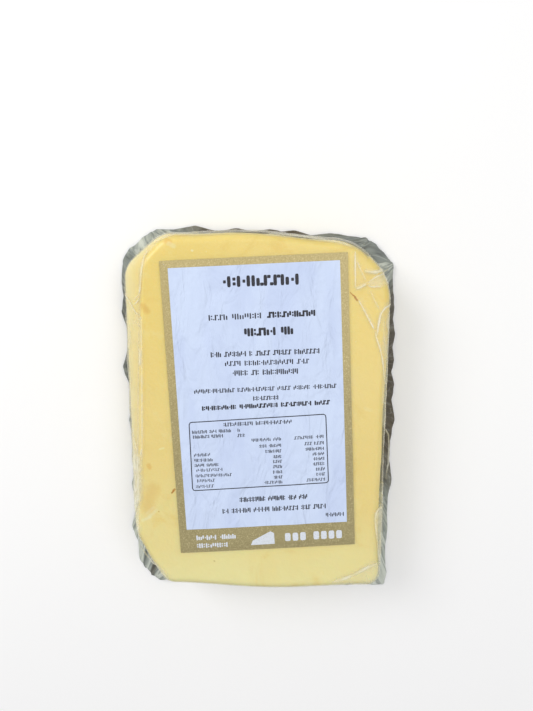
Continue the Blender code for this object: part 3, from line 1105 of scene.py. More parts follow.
@dataclass(frozen=True)
class InkFinish:
    """Printed marks that lie on the paper.

    Attributes:
        name: the material's name.
        colour: its full colour, from 0 to 255.
        worn: its colour where the print is thin.
        roughness: how matt it is.
    """

    name: str
    colour: tuple
    worn: tuple
    roughness: float = 0.55

    def build(self) -> Material:
        """Make the material."""
        canvas = ShaderCanvas(self.name)
        thin = canvas.between(canvas.noise(1800.0, 3.0, 0.7), 0.42, 0.72)
        colour = canvas.blend(thin, self.colour, self.worn)
        return canvas.finish(canvas.principled({
            "Base Color": colour, "Roughness": self.roughness,
            "Normal": canvas.bump(canvas.noise(2600.0, 2.0), 0.00001)}))


@dataclass(frozen=True)
class FloorFinish:
    """Plain pale floor.

    Attributes:
        colour: its colour, from 0 to 255.
    """

    colour: tuple = (254, 254, 254)

    def build(self) -> Material:
        """Make the material."""
        canvas = ShaderCanvas("pale_floor")
        cloud = canvas.between(canvas.noise(3.0, 2.0), 0.3, 0.7)
        colour = canvas.blend(cloud, self.colour, (251, 251, 252))
        return canvas.finish(canvas.principled({"Base Color": colour, "Roughness": 0.8}))


@dataclass
class CheeseBlock:
    """The chunk of cheese inside the film.

    Attributes:
        shape: the pack's shape.
        camera: the photograph's camera.
        gap: how far the cheese lies within the film, in millimetres.
        wobble: how uneven its cut faces are, in millimetres.
        wall_at: number of the ring that the others are measured by.
        clearances: how far it stands clear of loose film: side number plus share, and distance.
    """

    shape: PackShape
    camera: PhotoCamera
    gap: float = 0.28
    wobble: float = 0.10
    wall_at: int = 10
    clearances: tuple = ((0.0, 0.3), (0.04, 0.7), (0.15, 0.9), (0.30, 0.8), (0.45, 0.4),
                         (0.60, 0.5), (0.72, 0.2), (0.80, 0.0), (1.7, 0.0), (2.1, 0.7),
                         (2.5, 0.7), (2.9, 0.2), (3.2, 0.0), (6.8, 0.0), (7.0, 0.3))

    def rings(self) -> list:
        """All rings from the middle of the base to that of the face."""
        shape = self.shape
        base = shape.wall_ring(0.0, self.gap + 0.4, 0.0)[:, :2]
        rings = [shape.lifted(base * share, self.gap) for share in (0.3, 0.6, 0.85, 0.97, 1.0)]
        skirt = shape.wall_ring(0.0, self.gap, 0.0)
        rings.append(shape.lifted(skirt[:, :2], self.gap + 0.5))
        rings.append(shape.lifted(skirt[:, :2], 0.55 * shape.fin_root))
        rings += [shape.wall_ring(level, self.gap, 0.0) for level in np.linspace(0.0, 1.0, 15)]
        rings += [shape.edge_ring(angle, self.gap) for angle in np.linspace(10.0, 90.0, 9)]
        shares = (0.015, 0.035, 0.06, 0.09, 0.125, 0.165, 0.21, 0.26, 0.32, 0.4, 0.5, 0.62,
                  0.75, 0.88, 0.96)
        return rings + [shape.face_ring(share, self.gap) for share in shares]

    def build(self, finish: Material) -> Object:
        """Make the block and dress it with its material."""
        rings = self.rings()
        low = np.array((0.0, 0.0, self.gap))
        high = np.array((0.0, 0.0, self.shape.height - self.gap))
        clear = looked_up(self.clearances, self.shape.side_places())
        for ring in rings:
            along = np.roll(ring[:, :2], -1, axis=0) - np.roll(ring[:, :2], 1, axis=0)
            along /= np.maximum(np.linalg.norm(along, axis=1), 1e-6)[:, None]
            across = np.linalg.norm(ring[:, :2], axis=1) / np.linalg.norm(
                rings[self.wall_at][:, :2], axis=1)
            inward = np.column_stack((-along[:, 1], along[:, 0]))
            ring[:, :2] += inward * (clear * smooth_step(0.2, 0.9, across))[:, None]
        points, faces = skin_rings(rings, low, high)
        dents = soft_noise(points, 9.0, 3) * 0.6 + soft_noise(points, 3.2, 4) * 0.4
        dents = np.minimum(dents, 0.4) * self.wobble
        above = smooth_step(0.4, 2.0, points[:, 2])
        inward = points * np.array((1.0, 1.0, 0.0))
        inward /= np.maximum(np.linalg.norm(inward, axis=1), 1.0)[:, None]
        on_face = smooth_step(self.shape.height - 2.2, self.shape.height - 1.0, points[:, 2])
        points[:, :2] += (inward[:, :2] * (dents * above * (1.0 - on_face))[:, None])
        points[:, 2] += dents * above * on_face
        mesh = mesh_from("cheese_block", points * MM + self.camera.middle, faces)
        mesh.materials.append(finish)
        return dress(add_object("cheese_block", mesh))


class CreaseKind(Enum):
    """How strongly a crease of the film shows."""

    BRIGHT = "bright"
    SOFT = "soft"


@dataclass(frozen=True)
class Crease:
    """A ridge in the film that runs through pixels of the photograph.

    Attributes:
        kind: how strongly it shows.
        width: its full width, in millimetres.
        relief: how far the film stands out along it, in millimetres.
        reach: how far the relief and the milky veil beside it go, in pixels.
        haze: strength of that veil, which is partly painted sheen.
        pixels: x and y of its points in turn.
    """

    kind: CreaseKind
    width: float
    relief: float
    reach: float
    haze: float
    pixels: tuple


@dataclass(frozen=True)
class FilmPatch:
    """An area where the film is milky, partly painted as highlights.

    Attributes:
        haze: strength of the milky veil.
        fade: width of its fading rim, in pixels.
        pixels: x and y of its corners in the photograph in turn.
    """

    haze: float
    fade: float
    pixels: tuple


BRIGHT, SOFT = CreaseKind

CREASES = (
    Crease(BRIGHT, 0.46, 0.24, 2.2, 0.22, (147.8, 247.4, 143.8, 260.0, 141.3, 271.6, 140.1, 290.5,
        137.7, 301.7, 132.4, 305.9)),
    Crease(SOFT, 0.34, 0.18, 2.2, 0.16, (141.3, 276.0, 139.5, 290.5, 136.5, 297.0, 133.0, 302.3)),
    Crease(BRIGHT, 0.46, 0.26, 2.2, 0.24, (124.2, 288.2, 127.5, 297.5, 131.8, 305.9, 136.0, 312.5,
        141.3, 320.0)),
    Crease(SOFT, 0.32, 0.18, 2.2, 0.16, (132.4, 305.9, 137.2, 317.0, 141.5, 329.0)),
    Crease(SOFT, 0.4, 0.2, 1.8, 0.18, (138.8, 306.0, 141.2, 318.0, 141.4, 345.0, 141.8, 372.0,
        142.0, 400.0, 142.2, 440.0, 141.6, 470.0)),
    Crease(BRIGHT, 0.5, 0.1, 1.8, 0.35, (140.2, 348.0, 140.1, 367.0)),
    Crease(SOFT, 0.26, 0.1, 1.4, 0.16, (137.3, 342.0, 138.3, 372.0, 138.3, 400.0)),
    Crease(SOFT, 0.3, 0.16, 1.8, 0.2, (127.4, 312.0, 130.4, 333.0, 128.6, 352.0, 130.8, 376.0,
        129.6, 402.0)),
    Crease(BRIGHT, 0.4, 0.2, 2.2, 0.3, (132.1, 425.4, 135.4, 444.0, 138.8, 462.9)),
    Crease(SOFT, 0.34, 0.18, 2.2, 0.16, (141.5, 447.2, 140.4, 455.0, 138.8, 464.3)),
    Crease(BRIGHT, 0.5, 0.2, 2.6, 0.34, (134.8, 453.6, 138.2, 464.3, 138.8, 485.7, 139.6, 498.0)),
    Crease(BRIGHT, 0.45, 0.2, 2.2, 0.2, (140.8, 499.0, 134.8, 504.4, 132.4, 511.0, 130.8, 518.5)),
    Crease(SOFT, 0.32, 0.12, 1.8, 0.16, (139.6, 498.0, 139.0, 516.0, 139.6, 536.0, 142.0, 548.0)),
    Crease(BRIGHT, 0.4, 0.16, 2.2, 0.16, (354.9, 249.6, 355.2, 262.0, 355.3, 276.0, 355.5,
        289.3)),
    Crease(SOFT, 0.34, 0.14, 2.2, 0.16, (356.7, 260.3, 361.0, 270.5, 366.3, 281.8)),
    Crease(BRIGHT, 0.48, 0.22, 2.2, 0.16, (367.0, 282.6, 368.6, 285.6, 370.6, 287.2, 376.4, 286.5,
        390.5, 284.2)),
    Crease(BRIGHT, 0.44, 0.22, 2.2, 0.16, (367.2, 283.0, 376.5, 276.6, 385.9, 271.0, 390.5,
        266.6)),
    Crease(BRIGHT, 0.44, 0.18, 2.2, 0.16, (355.5, 289.5, 361.5, 287.0, 367.2, 283.4)),
    Crease(BRIGHT, 0.75, 0.3, 2.4, 0.4, (363.3, 270.2, 366.5, 271.6, 372.0, 272.2, 378.0, 271.9,
        384.0, 270.4)),
    Crease(BRIGHT, 0.42, 0.2, 2.2, 0.14, (357.9, 298.5, 363.5, 309.0, 369.4, 320.5, 375.2,
        331.0)),
    Crease(SOFT, 0.24, 0.1, 2.2, 0.16, (369.2, 288.9, 374.0, 299.0, 380.0, 310.4)),
    Crease(BRIGHT, 0.52, 0.28, 2.2, 0.24, (390.4, 299.7, 385.4, 307.6, 380.6, 314.0, 378.6, 325.0,
        376.4, 337.8)),
    Crease(BRIGHT, 0.38, 0.2, 2.2, 0.2, (374.6, 328.3, 376.4, 337.8, 380.0, 348.0, 382.3, 358.0,
        384.4, 380.0, 385.9, 402.0)),
    Crease(SOFT, 0.32, 0.16, 2.2, 0.16, (382.3, 328.3, 384.6, 340.0, 385.9, 352.0, 387.1, 402.0)),
    Crease(BRIGHT, 0.44, 0.26, 2.2, 0.2, (382.4, 400.0, 385.6, 416.0, 388.4, 434.6, 389.0, 445.0,
        388.2, 462.0, 385.7, 479.8)),
    Crease(BRIGHT, 0.42, 0.26, 2.2, 0.18, (389.0, 474.5, 386.4, 479.0, 383.0, 485.0, 381.0, 493.0,
        383.0, 501.0, 379.4, 507.6, 375.9, 513.0, 375.2, 520.0, 376.0, 530.0, 377.4, 540.0, 378.0,
        552.0)),
    Crease(SOFT, 0.36, 0.18, 1.6, 0.3, (379.9, 503.0, 379.6, 528.0, 379.8, 553.0)),
    Crease(SOFT, 0.36, 0.18, 1.6, 0.3, (383.0, 501.0, 382.4, 528.0, 381.2, 557.0)),
    Crease(BRIGHT, 0.8, 0.26, 3.0, 0.34, (378.2, 561.9, 367.0, 567.6, 357.0, 573.0, 347.0, 577.6,
        331.0, 582.4)),
    Crease(BRIGHT, 0.5, 0.08, 2.4, 0.5, (139.8, 544.0, 146.0, 554.0, 155.0, 564.6, 163.0, 572.4,
        170.5, 580.6)),
    Crease(SOFT, 0.26, 0.08, 1.4, 0.14, (147.5, 246.5, 153.0, 242.0, 166.5, 237.4, 175.0, 233.4,
        203.0, 231.9)),
    Crease(SOFT, 0.34, 0.1, 1.5, 0.3, (262.0, 233.6, 300.0, 236.4, 330.0, 240.6, 346.0, 244.4,
        354.0, 247.4)),
)

# Milky patches of the film, partly painted highlights and sheen.
FILM_PATCHES = (
    FilmPatch(0.05, 2.0, (127.0, 256.0, 146.0, 247.0, 141.0, 272.0, 139.0, 298.0, 132.0, 304.0,
        125.0, 288.0)),
    FilmPatch(0.22, 1.4, (125.5, 292.0, 131.5, 306.0, 141.5, 321.0, 142.0, 345.0, 127.0, 345.0)),
    FilmPatch(0.14, 1.6, (126.0, 345.0, 141.5, 345.0, 142.0, 455.0, 131.0, 455.0)),
    FilmPatch(0.64, 3.2, (134.0, 446.0, 141.0, 462.0, 142.5, 498.0, 131.0, 520.0, 130.0, 490.0)),
    FilmPatch(0.2, 1.6, (125.0, 404.0, 130.5, 404.0, 135.0, 452.0, 131.0, 512.0, 129.0, 512.0,
        130.0, 440.0)),
    FilmPatch(0.12, 1.6, (355.2, 250.0, 366.6, 283.0, 355.4, 289.0)),
    FilmPatch(0.46, 1.2, (354.6, 287.0, 366.4, 281.6, 367.4, 285.4, 355.6, 291.0)),
    FilmPatch(0.36, 1.3, (367.0, 283.0, 391.0, 266.0, 392.0, 284.0, 371.0, 287.5)),
    FilmPatch(0.2, 1.6, (358.0, 299.0, 362.0, 297.0, 377.0, 329.0, 375.6, 333.0)),
    FilmPatch(0.16, 1.8, (379.5, 313.0, 390.0, 301.0, 389.0, 322.0, 378.5, 336.0)),
    FilmPatch(0.36, 2.0, (387.0, 304.0, 391.0, 322.0, 390.4, 372.0, 387.6, 410.0, 386.0, 350.0)),
    FilmPatch(0.3, 1.6, (383.6, 316.0, 389.0, 340.0, 388.6, 396.0, 384.6, 440.0, 382.4, 424.0,
        382.0, 342.0)),
    FilmPatch(0.3, 1.6, (385.4, 490.0, 388.6, 506.0, 387.0, 568.0, 382.8, 546.0)),
    FilmPatch(0.42, 1.1, (375.6, 513.0, 382.0, 503.5, 382.6, 540.0, 381.6, 566.0, 378.6, 563.0,
        377.0, 540.0)),
    FilmPatch(0.26, 2.0, (378.0, 562.0, 348.0, 578.0, 322.0, 586.0, 380.0, 586.0)),
    FilmPatch(0.4, 2.0, (138.6, 515.0, 141.0, 546.0, 153.0, 565.0, 169.0, 583.0, 160.0, 583.0,
        136.0, 552.0)),
)

# Painted sheen on the film of the walls around the pack, as a milky veil: side number plus share,
# and strength
SIDE_SHEEN = ((0.0, 0.10), (0.8, 0.06), (1.5, 0.03), (2.0, 0.0), (3.0, 0.0), (3.6, 0.05),
             (4.1, 0.12), (5.0, 0.12), (6.0, 0.10), (7.0, 0.10))

# Painted shadow on the walls' lower half, as grey film: side number plus share, and strength
SIDE_SHADOW = ((0.0, 0.14), (0.10, 0.26), (0.30, 0.36), (0.48, 0.34), (0.70, 0.14), (0.85, 0.0),
              (4.3, 0.0), (4.6, 0.14), (4.9, 0.18), (5.05, 0.14), (5.4, 0.0), (6.7, 0.0),
              (7.0, 0.14))

# Painted shade of the fin around the pack: side number plus share, tone from 0 to 1 and how
# brownish it is
FIN_TONES = (
    (0.00, 0.88, 0.0), (0.05, 0.84, 0.0), (0.12, 0.78, 0.0), (0.28, 0.62, 0.1),
    (0.34, 0.32, 0.6), (0.45, 0.22, 0.9), (0.60, 0.10, 0.9), (0.80, 0.08, 0.8), (0.93, 0.20, 0.7),
    (1.00, 0.60, 0.1), (1.50, 0.42, 0.1), (1.95, 0.40, 0.1), (2.15, 0.36, 0.4),
    (2.30, 0.20, 1.0), (2.75, 0.22, 1.0), (2.90, 0.50, 0.3), (3.05, 0.74, 0.0),
    (3.50, 0.70, 0.0), (3.95, 0.62, 0.0), (4.08, 0.30, 0.2), (4.42, 0.20, 0.2),
    (4.60, 0.74, 0.0), (4.90, 0.84, 0.0), (5.00, 0.80, 0.0), (5.18, 0.34, 0.1),
    (5.40, 0.80, 0.0), (5.58, 0.62, 0.1), (5.75, 0.16, 0.6), (5.92, 0.30, 0.5),
    (6.02, 0.84, 0.0), (6.50, 0.72, 0.0), (7.00, 0.86, 0.0),
)


@dataclass
class FilmSkin:
    """The clear film around the cheese, with its creases and the sealed fin at its foot.

    Attributes:
        shape: the pack's shape.
        camera: the photograph's camera.
        crinkle: how far the fin's crinkles go up and down, in millimetres.
        pleat: how far the walls' fine pleats stand out, in millimetres.
        crease_spacing: distance between points along a crease, in millimetres.
        crease_height: height of a crease's ridge as a share of its width.
        crease_lift: how far a crease's middle stands above the film, in millimetres.
        crease_sides: how many sides its tube has before it is pressed flat.
        crease_shake: how far its line strays, in millimetres.
        calming: rounds of evening out along it.
        foot_ring: number of the ring at the wall's foot.
        fin_inner: share of the fin from which the walls' looks no longer apply.
    """

    shape: PackShape
    camera: PhotoCamera
    crinkle: float = 0.42
    pleat: float = 0.16
    crease_spacing: float = 0.3
    crease_height: float = 0.22
    crease_lift: float = 0.08
    crease_sides: int = 10
    crease_shake: float = 0.03
    calming: int = 6
    foot_ring: int = 2
    fin_inner: float = 0.25

    def rings(self) -> tuple:
        """All rings of the skin.

        Returns:
            The rings, and for each ring how much of the fin it is, from 0 to 1.
        """
        shape = self.shape
        edge, lift = shape.fin_lines()
        foot = shape.wall_ring(0.0, 0.0, 0.0)[:, :2]
        root = shape.wall_ring(0.0)[:, :2]
        rings = [shape.lifted(foot * share, 0.0) for share in (0.4, 0.8, 1.0)]
        fin = [0.0, 0.0, 0.0]
        bend = shape.fin_midway
        for share in (0.2, bend, 0.65, 0.82, 0.93):
            rise = share / bend if share < bend else 1.0 + (share - bend) / (1.0 - bend)
            rings.append(shape.lifted(foot + (edge - foot) * share, 0.5 * lift * rise))
            fin.append(share)
        for share in (0.0, 0.5, 1.0):
            rings.append(shape.lifted(edge, lift + shape.fin_thickness * share))
            fin.append(1.0)
        middle = shape.fin_midway_height + 0.5 * lift
        for share in (0.95, 0.88, 0.8, 0.7, 0.6, 0.52, bend, 0.36, 0.27, 0.18, 0.09):
            if share > bend:
                part = (share - bend) / (1.0 - bend)
                height = middle + (lift + shape.fin_thickness - middle) * part
            else:
                height = shape.fin_root + (middle - shape.fin_root) * share / bend
            rings.append(shape.lifted(root + (edge - root) * share, height))
            fin.append(share)
        rings += [shape.wall_ring(float(level)) for level in np.linspace(0.0, 1.0, 22)]
        rings += [shape.edge_ring(float(angle)) for angle in np.linspace(8.0, 90.0, 12)]
        shares = (*np.linspace(0.011, 0.330, 30), 0.38, 0.47, 0.62, 0.80)
        rings += [shape.face_ring(float(share)) for share in shares]
        return rings, fin + [0.0] * (len(rings) - len(fin))

    def wall_band(self, fin: np.ndarray, height: np.ndarray, rise: tuple,
                  fall: tuple) -> np.ndarray:
        """How much each point belongs to a band of the walls that rises and falls in height."""
        band = smooth_step(*rise, height) * (1.0 - smooth_step(*fall, height))
        return np.where(fin > self.fin_inner, 0.0, band)

    def crumple(self, points: np.ndarray, fin: np.ndarray, around: np.ndarray) -> None:
        """Crinkle the fin and pleat the walls, in place.

        Args:
            points: the skin's points, in millimetres.
            fin: how much of the fin each point is.
            around: distance along the foot for each point, in millimetres.
        """
        walk = np.column_stack((around, np.zeros((len(around), 2))))
        radial = np.column_stack((around, fin * 4.0, np.zeros(len(around))))
        waves = 0.55 * soft_noise(walk, 3.4, 11) + 0.45 * soft_noise(radial, 1.7, 12)
        rise = waves * self.crinkle * smooth_step(0.05, 0.7, fin)
        points[:, 2] = np.where(fin > 0.0, np.maximum(points[:, 2] + rise, 0.03), points[:, 2])
        outward = points[:, :2] / np.maximum(np.linalg.norm(points[:, :2], axis=1), 1.0)[:, None]
        ragged = soft_noise(walk, 1.6, 13) * 0.12 + soft_noise(walk, 4.5, 14) * 0.30
        points[:, :2] += outward * (ragged * smooth_step(0.5, 1.0, fin))[:, None]
        height = points[:, 2]
        on_wall = self.wall_band(fin, height, (2.0, 4.0), (16.0, 21.0))
        slant = np.column_stack((around + height * 0.35, height * 0.12, np.zeros(len(around))))
        folds = 0.6 * soft_noise(slant, 4.2, 15) + 0.4 * soft_noise(slant, 1.9, 16)
        folds = 1.0 - 2.0 * np.abs(folds)
        lean = 1.0 + 1.2 * (1.0 - smooth_step(3.0, 11.0, height))
        points[:, :2] += outward * (folds * self.pleat * on_wall * lean)[:, None]

    def looks(self, points: np.ndarray, normals: np.ndarray, fin: np.ndarray,
              places: np.ndarray) -> tuple:
        """Work out where the film is creased, and where it has painted sheen and painted shade.

        Args:
            points: the skin's points, in millimetres.
            normals: the skin's normals.
            fin: how much of the fin each point is.
            places: side number plus share of the way for each point.

        Returns:
            How far each point stands out, and the numbers that the finish reads, by name.
        """
        seen = self.camera.project(points * MM + self.camera.middle)
        height = points[:, 2]
        on_chunk = np.where(fin > FIN_START, 0.0, smooth_step(2.0, 4.0, height))
        facing = smooth_step(-0.25, 0.1, normals[:, 2]) * on_chunk
        relief = np.zeros(len(points))
        haze = np.zeros(len(points))
        # Creases raise the film and give it a milky veil, partly painted sheen.
        for crease in CREASES:
            gap, along = distance_to_line(seen, np.reshape(crease.pixels, (-1, 2)))
            taper = np.minimum(1.0, 6.0 * np.minimum(along, 1.0 - along) + 0.25)
            swell = np.exp(-(gap / crease.reach) ** 2) * taper * facing
            relief = np.maximum(relief, 0.6 * swell * crease.relief)
            haze = np.maximum(haze, swell * crease.haze)
        uneven = 0.9 * soft_noise(points, 2.6, 17)
        # Painted shade: the film is darker near the walls' foot, shadowed on their lower half, and
        # grey on the fin.
        low_wall = 0.5 * (1.0 - smooth_step(2.2, 5.2, height))
        grey = looked_up(SIDE_SHADOW, places) * (1.0 + 0.2 * uneven)
        low_wall = np.maximum(low_wall, grey * (1.0 - smooth_step(6.0, 18.0, height)))
        smoke = np.where(fin > 0.0, smooth_step(0.02, 0.30, fin), 0.0)
        smoke = np.maximum(smoke, np.where((fin == 0.0) & (height > 0.5), low_wall, 0.0))
        for patch in FILM_PATCHES:
            depth = inside_patch(seen, np.reshape(patch.pixels, (-1, 2)))
            depth += uneven * min(patch.fade, 1.6)
            cover = smooth_step(-patch.fade, patch.fade, depth) * on_chunk
            haze = np.maximum(haze, cover * patch.haze)
        # The walls get a painted sheen.
        on_wall = self.wall_band(fin, height, (3.0, 7.0), (17.5, 21.6))
        haze = np.maximum(haze, on_wall * looked_up(SIDE_SHEEN, places))
        return relief, {"haze": haze, "smoke": np.clip(smoke, 0.0, 1.0),
                        "tone": looked_up(FIN_TONES, places),
                        "warmth": looked_up(FIN_TONES, places, 2)}

    def build(self, finish: Material) -> Object:
        """Make the skin and dress it with its material."""
        rings, fin_shares = self.rings()
        foot = rings[self.foot_ring]
        walked, _ = walk_around(foot)
        points, faces = skin_rings(rings, np.zeros(3), np.array((0.0, 0.0, self.shape.height)))
        poles = (0.0, 0.0)
        fin = np.concatenate((np.repeat(fin_shares, len(foot)), poles))
        around = np.concatenate((np.tile(walked, len(rings)), poles))
        places = np.concatenate((np.tile(self.shape.side_places(), len(rings)), poles))
        self.crumple(points, fin, around)
        middle = self.camera.middle
        mesh = mesh_from("film_skin", points * MM + middle, faces)
        normals = np.zeros(len(points) * 3, np.float32)
        mesh.vertices.foreach_get("normal", normals)
        normals = normals.reshape(-1, 3).astype(float)
        relief, numbers = self.looks(points, normals, fin, places)
        points += normals * relief[:, None]
        mesh.vertices.foreach_set("co", (points * MM + middle).astype(np.float32).ravel())
        mesh.update()
        for name, values in {**numbers, "walk": around * MM, "reach": fin}.items():
            store(mesh, name, values)
        mesh.materials.append(finish)
        piece = dress(add_object("film_skin", mesh))
        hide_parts("pack")
        return piece

    def crease_tree(self) -> GeometryCanvas:
        """Build the tree that turns lines on the film into fine ridges."""
        canvas = GeometryCanvas("film_crease", Film="Object", Spacing="Float", Height="Float",
                                Lift="Float", Seed="Int")
        line = canvas.get("GeometryNodeResampleCurve", {
            "Curve": canvas.inputs["Geometry"], "Length": canvas.inputs["Spacing"]},
            mode="LENGTH")
        film = canvas.shape_of("Film")
        stray = self.crease_shake * MM
        shake = canvas.get("FunctionNodeRandomValue", {
            "Seed": canvas.inputs["Seed"], 0: (-stray, -stray, 0.0), 1: (stray, stray, 0.0)},
            data_type="FLOAT_VECTOR")
        near = canvas.nearest(film, canvas.vector("ADD", canvas.place, shake))
        outward = canvas.get("GeometryNodeSampleNearestSurface", {
            "Mesh": film, "Value": canvas.get("GeometryNodeInputNormal"),
            "Sample Position": near}, data_type="FLOAT_VECTOR")
        raised = canvas.scaled(canvas.blurred(outward, self.calming), canvas.inputs["Lift"])
        settled = canvas.moved(line, canvas.blurred(near, self.calming), raised)
        along = canvas.add("GeometryNodeSplineParameter").outputs["Factor"]
        ends = canvas.math("SUBTRACT", 1.0, canvas.math("ABSOLUTE", canvas.math(
            "MULTIPLY_ADD", along, 2.0, -1.0)))
        taper = canvas.math("MULTIPLY_ADD", canvas.math("MULTIPLY", ends, 5.0, clamp=True),
                            0.75, 0.25)
        jitter = canvas.add("FunctionNodeRandomValue", {
            "Seed": canvas.inputs["Seed"], 2: 0.86, 3: 1.12}, data_type="FLOAT").outputs[1]
        scale = canvas.math("MULTIPLY", canvas.math("MULTIPLY", canvas.stored("radius"), taper),
                            jitter)
        marked = canvas.keep(settled, "half_width", scale)
        centred = canvas.keep(marked, "centre", canvas.place, "FLOAT_VECTOR")
        ring = canvas.get("GeometryNodeCurvePrimitiveCircle", {
            "Resolution": self.crease_sides, "Radius": 1.0}, mode="RADIUS")
        tube = canvas.get("GeometryNodeCurveToMesh", {
            "Curve": centred, "Profile Curve": ring, "Scale": scale, "Fill Caps": True})
        foot = canvas.nearest(film, canvas.place)
        pressed = canvas.add("ShaderNodeMix", {
            0: canvas.inputs["Height"], 4: foot, 5: canvas.place}, data_type="VECTOR").outputs[1]
        gap = canvas.vector("DISTANCE", foot, canvas.stored("centre", "FLOAT_VECTOR"))
        side = canvas.math("DIVIDE", gap, canvas.stored("half_width"), clamp=True)
        canvas.finish(canvas.moved(canvas.keep(tube, "side", side), pressed))
        return canvas

    def build_creases(self, skin: Object, finishes: dict) -> list:
        """Make the ridges along the creases.

        Args:
            skin: the film's piece, which they lie on.
            finishes: a material for each kind of crease.

        Returns:
            The finished pieces.
        """
        film = BVHTree.FromObject(skin, bpy.context.evaluated_depsgraph_get())
        eye = Vector(self.camera.place)
        tree = self.crease_tree()
        pieces = []
        for kind, finish in finishes.items():
            lines = []
            for crease in (c for c in CREASES if c.kind is kind):
                pixels = np.reshape(crease.pixels, (-1, 2))
                hits = [film.ray_cast(eye, Vector(self.camera.ray(p)))[0] for p in pixels]
                hits = [hit for hit in hits if hit is not None]
                if len(hits) < 2:
                    log.warning("a crease misses the film near %s", pixels[0])
                    continue
                lines.append((hits, 1.05 * crease.width * MM))
            piece = tree.run(
                poly_curve(f"film_creases_{kind.value}", lines), "clear_film", Film=skin,
                Spacing=self.crease_spacing * MM, Height=self.crease_height,
                Lift=self.crease_lift * MM, Seed=5, Finish=finish)
            piece.data.shade_smooth()
            pieces.append(piece)
        return pieces


class Weight(Enum):
    """Stroke thickness of printed marks, as a share of their height."""

    LIGHT = 0.21
    REGULAR = 0.23
    BOLD = 0.32
    BLOCK = 0.22


@dataclass(frozen=True)
class MarkRow:
    """A row of plain printed marks where the label has small print.

    Attributes:
        weight: thickness of the strokes.
        height: height of the marks, in pixels.
        words: how many marks each word has.
        ends: x and y of the pixels at which the row starts and ends, at its middle height.
    """

    weight: Weight
    height: float
    words: tuple
    ends: tuple


# Each pattern of strokes fills a cell of 1 by 1: x, y, width and height. A width or height of 0
# stands for the stroke's thickness.
MARK_PATTERNS = (
    ((0.18, 0.50, 0.0, 1.00), (0.80, 0.36, 0.0, 0.72)),
    ((0.18, 0.64, 0.0, 0.72), (0.80, 0.50, 0.0, 1.00)),
    ((0.20, 0.50, 0.0, 1.00), (0.78, 0.78, 0.36, 0.0), (0.78, 0.22, 0.36, 0.0)),
    ((0.24, 0.50, 0.36, 0.0), (0.80, 0.50, 0.0, 1.00)),
    ((0.50, 0.50, 0.0, 1.00), (0.04, 0.10, 0.0, 0.0), (0.96, 0.90, 0.0, 0.0)),
    ((0.20, 0.34, 0.0, 0.68), (0.80, 0.66, 0.0, 0.68)),
    ((0.22, 0.76, 0.40, 0.0), (0.22, 0.24, 0.40, 0.0), (0.80, 0.50, 0.0, 1.00)),
)
BLOCK_PATTERNS = (((0.50, 0.50, 0.92, 0.96),),)

LIGHT, REGULAR, BOLD, BLOCK = Weight


def mark_rows(weight: Weight, height: float, *rows: tuple) -> tuple:
    """Rows of one weight and height, each given by its four end values and its words' lengths."""
    return tuple(MarkRow(weight, height, row[4:], row[:4]) for row in rows)


MARK_ROWS = (
    *mark_rows(BOLD, 10.8, (221.5, 282.0, 299.5, 279.0, 8)),
    *mark_rows(REGULAR, 5.8, (207.9, 318.0, 261.6, 315.4, 4, 6)),
    *mark_rows(BOLD, 6.2, (267.3, 315.0, 315.6, 312.8, 10)),
    *mark_rows(BOLD, 8.2, (243.9, 332.5, 293.5, 330.2, 5, 2)),
    *mark_rows(REGULAR, 5.4, (210.3, 355.0, 319.8, 350.8, 3, 6, 1, 4, 5, 7)),
    *mark_rows(REGULAR, 5.2, (224.5, 363.8, 309.0, 361.0, 4, 12, 3)),
    *mark_rows(REGULAR, 5.6, (232.1, 373.2, 298.3, 371.0, 4, 2, 9)),
    *mark_rows(REGULAR, 4.6, (193.8, 391.8, 336.4, 385.8, 12, 11, 4, 5, 7),
        (252.8, 398.6, 278.6, 397.4, 8)),
    *mark_rows(BOLD, 4.8, (201.7, 408.6, 329.8, 402.2, 9, 10, 8, 4)),
    *mark_rows(REGULAR, 4.2, (223.1, 424.8, 291.9, 421.4, 9, 11)),
    *mark_rows(LIGHT, 3.6, (191.9, 432.4, 231.2, 430.6, 6, 3, 5), (237.2, 430.3, 240.2, 430.2, 1),
        (192.7, 437.2, 223.1, 435.8, 7, 5), (237.2, 435.6, 245.2, 435.2, 3),
        (251.3, 440.4, 281.3, 438.8, 7, 3), (258.9, 446.4, 281.3, 445.2, 3, 5),
        (293.9, 438.0, 323.8, 436.4, 7, 3), (304.3, 443.8, 324.1, 442.8, 3, 4)),
    *mark_rows(LIGHT, 3.5, (265.3, 451.6, 281.3, 450.8, 7), (273.2, 456.8, 281.6, 456.4, 4),
        (273.0, 461.7, 281.9, 461.2, 4), (272.9, 466.8, 282.2, 466.4, 4),
        (272.9, 472.2, 282.3, 471.7, 4), (273.7, 477.4, 282.5, 476.9, 4),
        (264.0, 482.8, 282.6, 481.9, 7), (305.2, 449.4, 324.1, 448.4, 8),
        (312.5, 454.2, 324.3, 453.6, 5), (312.8, 459.1, 324.5, 458.5, 5),
        (312.8, 464.2, 324.8, 463.6, 5), (315.9, 469.4, 325.0, 468.9, 4),
        (316.3, 474.5, 325.1, 474.0, 4), (306.5, 480.3, 325.4, 479.3, 7),
        (193.7, 455.4, 210.4, 454.6, 6), (194.1, 460.7, 212.8, 459.8, 7),
        (194.3, 465.8, 218.7, 464.6, 4, 5), (196.0, 470.6, 222.7, 469.4, 9),
        (195.0, 476.2, 231.8, 474.6, 13), (196.8, 481.2, 215.1, 480.3, 6),
        (195.7, 487.0, 213.8, 486.0, 6)),
    *mark_rows(LIGHT, 5.4, (239.2, 500.0, 307.5, 496.6, 9, 6, 3, 3),
        (222.2, 511.6, 326.1, 506.2, 2, 6, 5, 8, 3, 4)),
    *mark_rows(LIGHT, 4.4, (325.6, 515.2, 344.2, 514.2, 6)),
)

